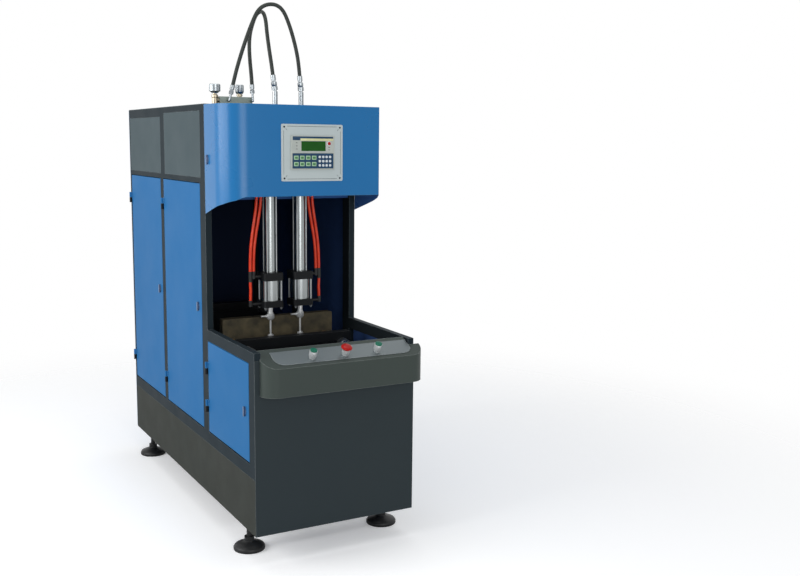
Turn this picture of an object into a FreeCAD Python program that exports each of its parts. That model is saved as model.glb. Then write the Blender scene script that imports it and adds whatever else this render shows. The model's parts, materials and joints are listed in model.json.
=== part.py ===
# Blow moulding machine, one station, built the way the real one is: two welded side frames on plinth
# channels, sheet-metal doors and covers, a clamp that closes along Y behind the working space, and two
# stretch-and-seal cylinders that hang from a top plate under a hinged hood.
# Millimetres. +Z up, +X to the operator's right, the operator stands at -Y.
# The origin lies on the floor under the middle of the footprint.
import FreeCAD, Part
import math
import os
import Sketcher
from FreeCAD import Placement, Rotation, Vector

doc = FreeCAD.newDocument("blow_moulding_machine")
sheet = doc.addObject("Spreadsheet::Sheet", "Sizes")
nodes = []
size_rows = []


# ---------------------------------------------------------------- sizes and their arithmetic

class Size:
    """A length that knows its number and the spreadsheet words it is worked out from."""

    def __init__(self, words, number):
        self.words = words
        self.number = number

    def __add__(self, other):
        other = as_size(other)
        return Size(f"({self.words} + {other.words})", self.number + other.number)

    def __sub__(self, other):
        other = as_size(other)
        return Size(f"({self.words} - {other.words})", self.number - other.number)

    def __mul__(self, factor):
        return Size(f"({self.words} * {factor})", self.number * factor)

    def __truediv__(self, divisor):
        return Size(f"({self.words} / {divisor})", self.number / divisor)

    def __neg__(self):
        return Size(f"(0 - {self.words})", -self.number)


def as_size(value):
    """A plain number becomes a size that hangs on nothing."""
    return value if isinstance(value, Size) else Size(str(value), float(value))


def size(word, number):
    """Writes one driving size into the sheet under its own word."""
    cell = f"B{len(size_rows) + 1}"
    sheet.set(cell.replace("B", "A"), word)
    sheet.set(cell, str(number))
    sheet.setAlias(cell, word)
    size_rows.append(word)
    return Size(f"Sizes.{word}", float(number))


# Body of the machine
body_width = size("body_width", 650)
body_depth = size("body_depth", 1630)
base_depth = size("base_depth", 510)
ledge_reach = size("ledge_reach", 60)
floor_clearance = size("floor_clearance", 114)
base_top = size("base_top", 793)
tower_top = size("tower_top", 1675)
panel_sheet = size("panel_sheet", 2)
front_sheet = size("front_sheet", 3)
frame_depth = size("frame_depth", 25)
plinth_height = size("plinth_height", 211)
lower_rail = size("lower_rail", 50)
base_rail = size("base_rail", 44)
door_head = tower_top - size("door_head_drop", 305)
tower_post = size("tower_post", 62)
middle_post = size("middle_post", 40)
rear_post = size("rear_post", 15)
front_post = size("front_post", 57)
cover_lap = size("cover_lap", 10)
cover_sill = door_head + size("cover_rail", 30)
cover_head = tower_top - size("cover_head_drop", 35)
cross_tube = size("cross_tube", 50)
cross_wall = size("cross_wall", 3)
side_gap = size("side_gap", 1)

# Doors, latches and weld-on hinges
tower_door_opening = size("tower_door_opening", 506)
door_gap = size("door_gap", 3)
door_depth = size("door_depth", 20)
door_sheet = size("door_sheet", 2)
door_edge_radius = size("door_edge_radius", 3)
hinge_radius = size("hinge_radius", 6)
hinge_half = size("hinge_half", 25)
hinge_bore = size("hinge_bore", 3.05)
hinge_pin = size("hinge_pin", 3)
hinge_leaf = size("hinge_leaf", 14)
hinge_leaf_sheet = size("hinge_leaf_sheet", 3)
hinge_inset = size("hinge_inset", 85)
latch_setback = size("latch_setback", 40)
latch_bore = size("latch_bore", 8.05)
latch_barrel = size("latch_barrel", 8)
latch_grip_width = size("latch_grip_width", 10)
latch_grip_height = size("latch_grip_height", 37)
latch_proud = size("latch_proud", 8)
latch_cam_length = size("latch_cam_length", 60)
hood_cam_length = size("hood_cam_length", 44)
latch_cam_sheet = size("latch_cam_sheet", 3)

# Hood, top plate and control panel
hood_reach = size("hood_reach", 216)
hood_gap = size("hood_gap", 3)
hood_top_drop = size("hood_top_drop", 3)
hood_front_bottom = tower_top - size("hood_front_height", 347)
hood_side_drop = size("hood_side_drop", 75)
hood_big_corner = size("hood_big_corner", 100)
hood_small_corner = size("hood_small_corner", 5)
top_plate_sheet = size("top_plate_sheet", 8)
top_plate_setback = size("top_plate_setback", 17)
mount_plate_sheet = size("mount_plate_sheet", 8)
mount_plate_setback = size("mount_plate_setback", 12)
gusset_sheet = size("gusset_sheet", 6)
keeper_inset = size("keeper_inset", 8)
keeper_height = size("keeper_height", 44)
keeper_foot = size("keeper_foot", 26)
gusset_spread = size("gusset_spread", 190)
control_plate_width = size("control_plate_width", 257)
control_plate_height = size("control_plate_height", 216)
control_plate_x = size("control_plate_x", 32)
control_plate_bottom = tower_top - size("control_plate_drop", 291)
display_width = size("display_width", 182)
display_height = size("display_height", 130)
display_proud = size("display_proud", 7)
display_rear = size("display_rear", 45)

# Operator ledge
ledge_bottom = size("ledge_bottom", 637)
ledge_front_top = size("ledge_front_top", 742)
ledge_back = size("ledge_back", 45)
ledge_corner = size("ledge_corner", 56)
ledge_shift = size("ledge_shift", 20)
panel_lap = size("panel_lap", 60)
ledge_flange = size("ledge_flange", 23)
button_plate_width = size("button_plate_width", 556)
button_plate_depth = size("button_plate_depth", 78)
button_plate_setback = size("button_plate_setback", 16)
button_pitch = size("button_pitch", 132)
button_middle_x = size("button_middle_x", 20)
button_row = 0.32
button_lift = -31.9

# Stretch-and-seal cylinders
cylinder_pitch = size("cylinder_pitch", 130)
cylinder_axis = base_depth - size("cylinder_ahead", 20)
stretch_bore = size("stretch_bore", 20)
stretch_wall = size("stretch_wall", 2.5)
stretch_cap_side = size("stretch_cap_side", 54)
stretch_cap_height = size("stretch_cap_height", 30)
seal_bore = size("seal_bore", 35)
seal_wall = size("seal_wall", 3)
seal_cap_side = size("seal_cap_side", 84)
seal_barrel_height = size("seal_barrel_height", 82)
lower_cap_height = size("lower_cap_height", 26)
middle_cap_height = size("middle_cap_height", 32)
lower_cap_bottom = size("lower_cap_bottom", 872)
seal_rod_radius = size("seal_rod_radius", 11)
seal_rod_bore = size("seal_rod_bore", 4.05)
stretch_rod_radius = size("stretch_rod_radius", 4)
stretch_rod_end = size("stretch_rod_end", 748)
piston_height = size("piston_height", 20)
running_gap = size("running_gap", 0.05)
stub_radius = size("stub_radius", 10)
stub_height = size("stub_height", 57)
stub_pitch = size("stub_pitch", 110)
stub_y = base_depth - size("stub_ahead", 62)

# Clamp
platen_width = size("platen_width", 488)
platen_sheet = size("platen_sheet", 40)
platen_bottom = size("platen_bottom", 380)
fixed_platen_top = size("fixed_platen_top", 764)
moving_platen_top = size("moving_platen_top", 818)
mould_space = size("mould_space", 140)
tie_bar_radius = size("tie_bar_radius", 15)
tie_bar_spread = size("tie_bar_spread", 410)
tie_bar_low = size("tie_bar_low", 440)
tie_bar_high = size("tie_bar_high", 715)
tie_nut_height = size("tie_nut_height", 24)
tie_nut_radius = size("tie_nut_radius", 26)
tail_plate_y = size("tail_plate_y", 1280)
bush_radius = size("bush_radius", 22)
bush_flange = size("bush_flange", 6)
mould_bolt_radius = size("mould_bolt_radius", 6.5)
mould_bolt_spread = size("mould_bolt_spread", 300)
mould_bolt_height = size("mould_bolt_height", 180)
clamp_bore = size("clamp_bore", 80)
clamp_wall = size("clamp_wall", 6)
clamp_cap_side = size("clamp_cap_side", 190)
clamp_cap_depth = size("clamp_cap_depth", 25)
clamp_barrel_length = size("clamp_barrel_length", 215)
clamp_rod_radius = size("clamp_rod_radius", 20)
clamp_flange_radius = size("clamp_flange_radius", 45)
clamp_flange_depth = size("clamp_flange_depth", 16)
clamp_piston_depth = size("clamp_piston_depth", 30)

# Feet and air parts
foot_inset = size("foot_inset", 41)
foot_front = size("foot_front", 179)
foot_rear = size("foot_rear", 128)
foot_radius = size("foot_radius", 60)
foot_hub_radius = size("foot_hub_radius", 19)
foot_hub_height = size("foot_hub_height", 50)
foot_stud = size("foot_stud", 10)
manifold_length = size("manifold_length", 133)
manifold_side = size("manifold_side", 30)
manifold_x = size("manifold_x", -184)
manifold_y = base_depth + size("manifold_behind", 35)
knob_radius = size("knob_radius", 22)
small_knob_radius = size("small_knob_radius", 17)
elbow_y = base_depth + size("elbow_behind", 2)
elbow_radius = size("elbow_radius", 4.5)
left_elbow_x = size("left_elbow_x", -219)
right_elbow_x = size("right_elbow_x", -122.5)
left_elbow_rise = size("left_elbow_rise", 59)
right_elbow_rise = size("right_elbow_rise", 63)
stub_union_rise = size("stub_union_rise", 63)
valve_block_width = size("valve_block_width", 85)
tube_radius = size("tube_radius", 6)
hose_radius = size("hose_radius", 7.5)
doc.recompute()

# Places that many pieces share. "y" sizes above are measured back from the base's front face.
front_y = (ledge_reach - body_depth) / 2
half_width = body_width / 2
tower_y = front_y + base_depth
rear_y = front_y + body_depth
plinth_top = floor_clearance + plinth_height
door_sill = plinth_top + lower_rail
tower_opening_y = tower_y + tower_post
middle_post_y = tower_opening_y + tower_door_opening
rear_opening_y = middle_post_y + middle_post
rear_opening_end = rear_y - panel_sheet - rear_post
base_opening_y = front_y + front_post
base_opening_end = tower_y + side_gap
base_opening_top = base_top - base_rail
frame_inside = half_width - frame_depth
inside_width = frame_inside * 2
hood_front_y = tower_y - hood_gap - hood_reach
mount_plate_y = tower_y + mount_plate_setback
axis_y = front_y + cylinder_axis
axis_x = cylinder_pitch / 2
seal_barrel_bottom = lower_cap_bottom + lower_cap_height
middle_cap_bottom = seal_barrel_bottom + seal_barrel_height
stretch_bottom = middle_cap_bottom + middle_cap_height
top_plate_top = tower_top - hood_top_drop - panel_sheet
top_plate_bottom = top_plate_top - top_plate_sheet
stretch_top = top_plate_bottom - stretch_cap_height
moving_platen_y = axis_y + mould_space / 2
fixed_platen_y = axis_y - mould_space / 2 - platen_sheet
tail_y = front_y + tail_plate_y
clamp_axis_z = (tie_bar_low + tie_bar_high) / 2
hood_latch_z = (tower_top - hood_top_drop + hood_front_bottom - hood_side_drop) / 2
ledge_slope = (base_top.number - ledge_front_top.number) / (ledge_reach.number + ledge_back.number)


# ---------------------------------------------------------------- building helpers

AXIS_TURNS = {
    "z": Rotation(),
    "x": Rotation(Vector(0, 1, 0), 90),
    "y": Rotation(Vector(1, 0, 0), -90),
    "-x": Rotation(Vector(0, 1, 0), -90),
    "-y": Rotation(Vector(1, 0, 0), 90),
    "-z": Rotation(Vector(1, 0, 0), 180),
}


def leaning(degrees):
    """The turn that tips a piece's own +Z towards +X."""
    return Rotation(Vector(0, 1, 0), degrees)


def lean_end(x, y, z, degrees, rise):
    """Where a leaning piece of a given length ends."""
    turn = math.radians(degrees)
    return x + rise * math.sin(turn), as_size(y), z + rise * math.cos(turn)


def bind(thing, path, value):
    """Ties one property of a document object to a size."""
    thing.setExpression(path, as_size(value).words)


def place(thing, x=0, y=0, z=0, turn=Rotation()):
    """Places an object at three sizes, turned by a fixed rotation."""
    corner = [as_size(value) for value in (x, y, z)]
    thing.Placement = Placement(Vector(*[value.number for value in corner]), turn)
    for letter, value in zip("xyz", corner):
        bind(thing, f".Placement.Base.{letter}", value)
    return thing


def box(name, length, width, height, x, y, z):
    """A plain block, placed by its lowest corner."""
    block = doc.addObject("Part::Box", name)
    bind(block, "Length", length)
    bind(block, "Width", width)
    bind(block, "Height", height)
    return place(block, x, y, z)


def rod(name, radius, length, x, y, z, along="z"):
    """A plain round, placed by the middle of its first end."""
    round_bar = doc.addObject("Part::Cylinder", name)
    bind(round_bar, "Radius", radius)
    bind(round_bar, "Height", length)
    return place(round_bar, x, y, z, AXIS_TURNS[along])


def group(name, pieces):
    """Like pieces kept side by side in one object."""
    whole = doc.addObject("Part::Compound", name)
    whole.Links = pieces
    return whole


def fuse(name, pieces):
    """Pieces welded or cast into one."""
    whole = doc.addObject("Part::MultiFuse", name)
    whole.Shapes = pieces
    return whole


def cut(name, base, tools):
    """One piece with others taken out of it."""
    result = doc.addObject("Part::Cut", name)
    result.Base = base
    result.Tool = tools[0] if len(tools) == 1 else fuse(f"{name}_tools", tools)
    return result


def node(thing):
    """Marks an object as a sub-part that is handed over under its own name."""
    thing.Label = thing.Name
    nodes.append(thing)
    return thing


def body_at(name, x=0, y=0, z=0, turn=Rotation()):
    """An empty body at its place."""
    return place(doc.addObject("PartDesign::Body", name), x, y, z, turn)


def sketch_on(body, role, lift=0):
    """A sketch on one of the body's own planes, lifted along the plane's normal."""
    plane = [item for item in body.Origin.OriginFeatures if item.Role == role][0]
    sketch = body.newObject("Sketcher::SketchObject", f"{body.Name}_sketch")
    sketch.AttachmentSupport = (plane, "")
    sketch.MapMode = "FlatFace"
    lift = as_size(lift)
    sketch.AttachmentOffset = Placement(Vector(0, 0, lift.number), Rotation())
    bind(sketch, ".AttachmentOffset.Base.z", lift)
    return sketch


def hold_point(sketch, edge, corner, x, y):
    """Ties a point of the sketch to its two sizes, measured from the sketch's origin."""
    for kind, value, axis in (("DistanceX", x, -2), ("DistanceY", y, -1)):
        value = as_size(value)
        if value.number == 0:
            sketch.addConstraint(Sketcher.Constraint("PointOnObject", edge, corner, axis))
            continue
        row = sketch.addConstraint(Sketcher.Constraint(kind, -1, 1, edge, corner, value.number))
        bind(sketch, f"Constraints[{row}]", value)


def outline(sketch, points):
    """A closed outline of straight lines, each corner tied to its sizes."""
    corners = [(as_size(x), as_size(y)) for x, y in points]
    first = len(sketch.Geometry)
    count = len(corners)
    for step in range(count):
        start, end = corners[step], corners[(step + 1) % count]
        line = Part.LineSegment(Vector(start[0].number, start[1].number, 0), Vector(end[0].number, end[1].number, 0))
        sketch.addGeometry(line, False)
    for step in range(count):
        follower = first + (step + 1) % count
        sketch.addConstraint(Sketcher.Constraint("Coincident", first + step, 2, follower, 1))
    for step, (x, y) in enumerate(corners):
        hold_point(sketch, first + step, 1, x, y)


def rectangle(sketch, x, y, width, height):
    """A rectangle from its lower left corner."""
    x, y = as_size(x), as_size(y)
    right, top = x + width, y + height
    outline(sketch, [(x, y), (right, y), (right, top), (x, top)])


def circle(sketch, x, y, radius):
    """A circle tied by its centre and radius."""
    x, y, radius = as_size(x), as_size(y), as_size(radius)
    ring = Part.Circle(Vector(x.number, y.number, 0), Vector(0, 0, 1), radius.number)
    edge = sketch.addGeometry(ring, False)
    row = sketch.addConstraint(Sketcher.Constraint("Radius", edge, radius.number))
    bind(sketch, f"Constraints[{row}]", radius)
    hold_point(sketch, edge, 3, x, y)


def pad(body, sketch, length, back=False):
    """Material raised from a sketch."""
    feature = body.newObject("PartDesign::Pad", f"{body.Name}_pad")
    feature.Profile = sketch
    feature.Reversed = back
    bind(feature, "Length", length)
    return feature


def pocket(body, sketch, length=None, back=False):
    """Material taken out below a sketch, or right through both ways where no length is given."""
    feature = body.newObject("PartDesign::Pocket", f"{body.Name}_pocket")
    feature.Profile = sketch
    feature.Reversed = back
    if length is None:
        feature.Type = 1
        feature.Midplane = True
    else:
        bind(feature, "Length", length)
    return feature


def edges_of(feature, wanted):
    """Names of a feature's edges that a test picks, after it is worked out."""
    doc.recompute()
    return [f"Edge{row + 1}" for row, edge in enumerate(feature.Shape.Edges) if wanted(edge)]


def faces_of(feature, wanted):
    """Names of a feature's faces that a test picks, after it is worked out."""
    doc.recompute()
    return [f"Face{row + 1}" for row, face in enumerate(feature.Shape.Faces) if wanted(face)]


def runs_along(edge, letter):
    """True for a straight edge parallel to one axis of its body."""
    if edge.Curve.TypeId != "Part::GeomLine":
        return False
    return abs(getattr(edge.Curve.Direction, letter)) > 0.999


def soften(body, feature, wanted, radius, kind="Fillet"):
    """A fillet or a chamfer on the edges that a test picks."""
    names = edges_of(feature, wanted)
    softened = body.newObject(f"PartDesign::{kind}", f"{body.Name}_{kind.lower()}")
    softened.Base = (feature, names)
    bind(softened, "Radius" if kind == "Fillet" else "Size", radius)
    return softened


def turned(name, profile, x=0, y=0, z=0, along="z", turn=None):
    """A turned piece: a half section of (radius, height) points spun about its axis."""
    body = body_at(name, x, y, z, turn or AXIS_TURNS[along])
    sketch = sketch_on(body, "XZ_Plane")
    outline(sketch, profile)
    spin = body.newObject("PartDesign::Revolution", f"{name}_revolution")
    spin.Profile = sketch
    spin.ReferenceAxis = (sketch, ["V_Axis"])
    spin.Angle = 360
    return body


# ---------------------------------------------------------------- frame and covers

def frame_openings():
    """The five openings of a side frame as (y, z, width, height): three doors, two upper covers."""
    door_rise = door_head - door_sill
    cover_rise = cover_head - cover_sill
    rear_width = rear_opening_end - rear_opening_y
    return [
        (base_opening_y, door_sill, base_opening_end - base_opening_y, base_opening_top - door_sill),
        (tower_opening_y, door_sill, tower_door_opening, door_rise),
        (rear_opening_y, door_sill, rear_width, door_rise),
        (tower_opening_y, cover_sill, tower_door_opening - middle_post, cover_rise),
        (rear_opening_y, cover_sill, rear_width - cover_lap, cover_rise - rear_post),
    ]


def side_frame(name, x, outer_face, recessed):
    """A welded L-shaped side frame; the openings in "recessed" have a step that takes a flush plate."""
    start_y = front_y + front_sheet
    body = body_at(name, x, start_y, plinth_top)
    length = body_depth - front_sheet - panel_sheet
    rise = tower_top - panel_sheet - plinth_top
    step_y = tower_y - start_y
    step_z = base_top - plinth_top
    sketch = sketch_on(body, "YZ_Plane")
    outline(sketch, [(0, 0), (length, 0), (length, rise), (step_y, rise), (step_y, step_z), (0, step_z)])
    for y, z, width, height in frame_openings():
        rectangle(sketch, y - start_y, z - plinth_top, width, height)
    pad(body, sketch, frame_depth)
    recess = sketch_on(body, "YZ_Plane", outer_face)
    for row in recessed:
        y, z, width, height = frame_openings()[row]
        rectangle(recess, y - start_y - cover_lap, z - plinth_top - cover_lap,
                  width + cover_lap * 2, height + cover_lap * 2)
    pocket(body, recess, panel_sheet, back=True)
    return node(body)


def flush_plates(name, x, rows):
    """Flat plates that lie in the recesses of a side frame."""
    plates = []
    for row in rows:
        y, z, width, height = frame_openings()[row]
        plates.append(box(f"{name}_{row}", panel_sheet, width + cover_lap * 2 - side_gap,
                          height + cover_lap * 2 - side_gap, x,
                          y - cover_lap + side_gap / 2, z - cover_lap + side_gap / 2))
    return node(group(name, plates))


def plinth_channels():
    """A folded channel under each side frame, open towards the inside."""
    channels = []
    length = body_depth - front_sheet - panel_sheet
    for word, x, hollow_x in (("left", -half_width, -half_width + front_sheet), ("right", frame_inside, frame_inside - 1)):
        skin = box(f"plinth_{word}_skin", frame_depth, length, plinth_height, x, front_y + front_sheet, floor_clearance)
        hollow = box(f"plinth_{word}_hollow", frame_depth - front_sheet + 1, length, plinth_height - front_sheet * 2,
                     hollow_x, front_y + front_sheet, floor_clearance + front_sheet)
        channels.append(cut(f"plinth_{word}", skin, [hollow]))
    return node(group("plinth_channels", channels))


def square_tube(name, y, z):
    """A square tube across the machine, between the side frames."""
    skin = box(f"{name}_skin", inside_width, cross_tube, cross_tube, -frame_inside, y, z)
    bore = box(f"{name}_bore", inside_width + 2, cross_tube - cross_wall * 2, cross_tube - cross_wall * 2,
               -frame_inside - 1, y + cross_wall, z + cross_wall)
    return cut(name, skin, [bore])


def cross_members():
    """Foot tubes below, bed tubes under the clamp and roof tubes on top; the feet's studs enter the lowest."""
    floor_tubes = []
    for word, y in (("front", front_y + foot_front), ("rear", rear_y - foot_rear)):
        tube = square_tube(f"foot_tube_{word}", y - cross_tube / 2, floor_clearance)
        holes = []
        for side, x in (("left", -half_width + foot_inset), ("right", half_width - foot_inset)):
            holes.append(rod(f"foot_hole_{word}_{side}", foot_stud + running_gap * 4, cross_tube,
                             x, y, floor_clearance))
        floor_tubes.append(cut(f"foot_tube_{word}_drilled", tube, holes))
    bed_z = platen_bottom - cross_tube * 2
    bed_tubes = [square_tube(f"bed_tube_{row}", front_y + y, bed_z)
                 for row, y in enumerate((fixed_platen_y - front_y, tower_opening_y - front_y + 200,
                                          tail_plate_y))]
    roof_z = tower_top - panel_sheet - cross_tube
    roof_tubes = [square_tube(f"roof_tube_{row}", y, roof_z)
                  for row, y in enumerate((mount_plate_y + mount_plate_sheet, middle_post_y - cross_tube / 2,
                                           rear_y - panel_sheet - cross_tube))]
    return node(group("cross_members", floor_tubes + bed_tubes + roof_tubes))


def bed_rails():
    """Two rails along the machine that carry the fixed platen and the tail plate."""
    rails = []
    length = tail_y + platen_sheet - fixed_platen_y
    for word, x in (("left", -tie_bar_spread / 2), ("right", tie_bar_spread / 2 - cross_tube)):
        rails.append(box(f"bed_rail_{word}", cross_tube, length, cross_tube, x, fixed_platen_y, platen_bottom - cross_tube))
    return node(group("bed_rails", rails))


def front_panel():
    """The base's front: a folded pan with side flanges, cut lower in the middle to clear the buttons."""
    rise = ledge_front_top + ledge_reach * ledge_slope - front_sheet * 2 - floor_clearance
    low = ledge_bottom + panel_lap - floor_clearance
    ear = cross_tube * 1.5
    body = body_at("front_panel", -half_width, front_y, floor_clearance)
    sketch = sketch_on(body, "XZ_Plane")
    outline(sketch, [(0, 0), (body_width, 0), (body_width, rise), (body_width - ear, rise), (body_width - ear, low),
                     (ear, low), (ear, rise), (0, rise)])
    pad(body, sketch, front_sheet, back=True)
    flange = sketch_on(body, "XZ_Plane")
    for x in (frame_depth + side_gap, body_width - frame_depth - side_gap - front_sheet):
        rectangle(flange, x, cross_tube, front_sheet, rise - cross_tube)
    pad(body, flange, cross_tube * 0.8, back=True)
    return node(body)


def rear_panel():
    """A plain folded sheet across the back, from the plinth to the roof."""
    body = body_at("rear_panel", -half_width, rear_y - panel_sheet, floor_clearance)
    sketch = sketch_on(body, "XZ_Plane")
    rectangle(sketch, 0, 0, body_width, tower_top - floor_clearance)
    feature = pad(body, sketch, panel_sheet, back=True)
    soften(body, feature, lambda edge: runs_along(edge, "y"), cover_lap * 0.6)
    return node(body)


def roof_panel():
    """The roof sheet over the tower, flanged down inside the side frames."""
    body = body_at("roof_panel", -half_width, tower_y, tower_top - panel_sheet)
    sketch = sketch_on(body, "XY_Plane")
    length = rear_y - panel_sheet - tower_y
    rectangle(sketch, 0, 0, body_width, length)
    pad(body, sketch, panel_sheet)
    return node(body)


# ---------------------------------------------------------------- doors, latches and hinges

def hinge_axis(y, side=-1):
    """Where a vertical hinge pin stands beside a side face."""
    return (half_width + hinge_radius) * side, y + side_gap / 2


def knuckle(name, x, y, z, leaf_y, side, bore):
    """One welded half of a hinge: a barrel with a short leaf against the side face."""
    barrel = rod(f"{name}_barrel", hinge_radius, hinge_half - side_gap / 2, x, y, z)
    leaf_x = -half_width - hinge_leaf_sheet if side < 0 else half_width
    leaf = box(f"{name}_leaf", hinge_leaf_sheet, hinge_leaf, hinge_half - side_gap / 2, leaf_x, leaf_y, z)
    half = fuse(f"{name}_half", [barrel, leaf])
    if bore:
        return cut(f"{name}_bored", half, [rod(f"{name}_bore", hinge_bore, hinge_half, x, y, z)])
    pin = rod(f"{name}_pin", hinge_pin, hinge_half * 1.9, x, y, z)
    return fuse(f"{name}_with_pin", [half, pin])


def hinge_heights(low, high):
    """Heights of the lower edges of a door's two hinges."""
    return [low + hinge_inset, high - hinge_inset - hinge_half * 2]


def fixed_hinges():
    """The lower halves of all hinges, welded to the side frames, each with its pin."""
    halves = []
    doors = (
        ("rear", rear_opening_end, door_sill, door_head, -1),
        ("tower", middle_post_y, door_sill, door_head, -1),
        ("base", base_opening_end, door_sill, base_opening_top, -1),
        ("hood", tower_y - side_gap * 2, hood_front_bottom - hood_side_drop, tower_top - hood_top_drop, 1),
    )
    for word, y, low, high, side in doors:
        x, pin_y = hinge_axis(y, side)
        inset_low, inset_high = hinge_heights(low, high)
        for row, z in enumerate((inset_low, inset_high)):
            halves.append(knuckle(f"hinge_{word}_{row}", x, pin_y, z, pin_y, side, bore=False))
    return node(group("frame_hinges", halves))


def door_pan(name, y, end_y, z, top_z):
    """A folded door pan, flush in its opening, with the upper hinge halves welded to its rear edge."""
    width = end_y - y - door_gap * 2
    rise = top_z - z - door_gap * 2
    body = body_at(f"{name}_pan", -half_width, y + door_gap, z + door_gap)
    sketch = sketch_on(body, "YZ_Plane")
    rectangle(sketch, 0, 0, width, rise)
    block = pad(body, sketch, door_depth)
    rounded = soften(body, block, lambda edge: on_outer_rim(edge), door_edge_radius)
    hollow = sketch_on(body, "YZ_Plane", door_sheet)
    rectangle(hollow, door_sheet, door_sheet, width - door_sheet * 2, rise - door_sheet * 2)
    pocket(body, hollow, door_depth, back=True)
    hole = sketch_on(body, "YZ_Plane")
    circle(hole, latch_setback - door_gap, rise / 2, latch_bore)
    pocket(body, hole, door_sheet * 3, back=True)
    x, pin_y = hinge_axis(end_y)
    halves = [body]
    for row, low in enumerate(hinge_heights(z, top_z)):
        halves.append(knuckle(f"{name}_hinge_{row}", x, pin_y, low + hinge_half, pin_y - hinge_leaf, -1, bore=True))
    return node(fuse(name, halves))


def on_outer_rim(edge):
    """True for the edges round a pan's outer face."""
    return abs(edge.BoundBox.XMax) < 1e-6


def quarter_latch(name, x, y, z, reach, cam_up=True):
    """A quarter-turn latch: an oval grip outside, a barrel through the sheet and a cam inside."""
    depth = reach + latch_cam_sheet
    body = turned(f"{name}_barrel", [
        (0, 0), (latch_barrel, 0), (latch_barrel, depth), (latch_barrel * 1.4, depth),
        (latch_barrel * 1.4, depth + 2), (0, depth + 2)], x + depth, y, z, "-x")
    half_grip = (latch_grip_height - latch_grip_width) / 2
    grip = [box(f"{name}_grip", latch_proud, latch_grip_width, half_grip * 2, x - latch_proud,
                y - latch_grip_width / 2, z - half_grip)]
    grip += [rod(f"{name}_grip_end_{row}", latch_grip_width / 2, latch_proud, x, y, z + half_grip * side, "-x")
             for row, side in enumerate((-1, 1))]
    width, rise = (latch_barrel * 2, latch_cam_length) if cam_up else (hood_cam_length, latch_barrel * 2)
    cam = box(f"{name}_cam", latch_cam_sheet, width, rise, x + reach, y - latch_barrel, z - latch_barrel)
    return node(fuse(name, [body, cam] + grip))


# ---------------------------------------------------------------- hood, plates and control panel

def hood():
    """The blue hood: one rolled sheet with a large left corner, its lower edge falling to the rear."""
    top = tower_top - hood_top_drop
    low = hood_front_bottom - hood_side_drop
    body = body_at("hood_sheet", -half_width, hood_front_y, low)
    sketch = sketch_on(body, "XY_Plane")
    rectangle(sketch, 0, 0, body_width, hood_reach)
    block = pad(body, sketch, top - low)
    left = soften(body, block, lambda edge: runs_along(edge, "z") and edge.BoundBox.YMax < 1 and edge.BoundBox.XMax < 1,
                  hood_big_corner)
    right = soften(body, left, lambda edge: runs_along(edge, "z") and edge.BoundBox.YMax < 1
                   and edge.BoundBox.XMin > body_width.number - 1, hood_small_corner)
    open_faces = faces_of(right, lambda face: abs(face.normalAt(0, 0).z) > 0.9
                          or face.CenterOfMass.y > hood_reach.number - 1)
    shell = body.newObject("PartDesign::Thickness", "hood_thickness")
    shell.Base = (right, open_faces)
    shell.Reversed = True
    bind(shell, "Value", panel_sheet)
    fall = sketch_on(body, "YZ_Plane")
    outline(fall, hood_lower_edge())
    pocket(body, fall, body_width * 2, back=True).Midplane = True
    window = sketch_on(body, "XZ_Plane")
    rectangle(window, half_width + control_plate_x - display_width / 2 + 5,
              control_plate_bottom + (control_plate_height - display_height) / 2 + 5 - low,
              display_width - 10, display_height - 10)
    pocket(body, window, panel_sheet * 3)
    latch_hole = sketch_on(body, "YZ_Plane")
    circle(latch_hole, hood_reach - latch_setback, (top - low) / 2, latch_bore)
    pocket(body, latch_hole, panel_sheet * 3, back=True)
    x, pin_y = hinge_axis(tower_y - side_gap * 2, 1)
    halves = [body]
    for row, z in enumerate(hinge_heights(low, top)):
        halves.append(knuckle(f"hood_hinge_{row}", x, pin_y, z + hinge_half, pin_y - hinge_leaf, 1, bore=True))
    return node(fuse("hood", halves))


def hood_lower_edge():
    """The part of the hood's side that is cut away: a straight line on the flat sheet before it was rolled."""
    radius = hood_big_corner
    rolled = radius * (math.pi / 2)
    flat = hood_reach - radius
    whole = rolled + flat
    points = [(0, 0), (hood_reach, 0)]
    points.append((radius, hood_side_drop * (flat.number / whole.number)))
    for degrees in (60, 30):
        turn = math.radians(degrees)
        left_over = 1 - radius.number * turn / whole.number
        points.append((radius * (1 - math.cos(turn)), hood_side_drop * left_over))
    points.append((0, hood_side_drop))
    return points


def top_plate():
    """The plate that carries the cylinders; its left corner is rounded so that the hood swings past."""
    depth = tower_y - hood_front_y - hood_gap - panel_sheet
    left_x = -half_width + top_plate_setback
    right_x = half_width - panel_sheet - hood_gap * 2
    width = right_x - left_x
    body = body_at("top_plate", left_x, tower_y - depth, top_plate_bottom)
    sketch = sketch_on(body, "XY_Plane")
    left, right = -frame_inside + side_gap - left_x, frame_inside - side_gap - left_x
    tongue = depth + mount_plate_setback
    outline(sketch, [(0, 0), (width, 0), (width, depth), (right, depth), (right, tongue), (left, tongue), (left, depth),
                     (0, depth)])
    for side in (-1, 1):
        circle(sketch, stub_pitch / 2 * side - left_x, front_y + stub_y - tower_y + depth, stub_radius + running_gap)
    block = pad(body, sketch, top_plate_sheet)
    rolled = soften(body, block, lambda edge: runs_along(edge, "z") and edge.BoundBox.YMax < 1
                    and edge.BoundBox.XMax < 1, hood_big_corner)
    soften(body, rolled, lambda edge: runs_along(edge, "z") and edge.BoundBox.YMax < 1
           and edge.BoundBox.XMin > width.number - 1, hood_small_corner)
    return node(body)


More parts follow.
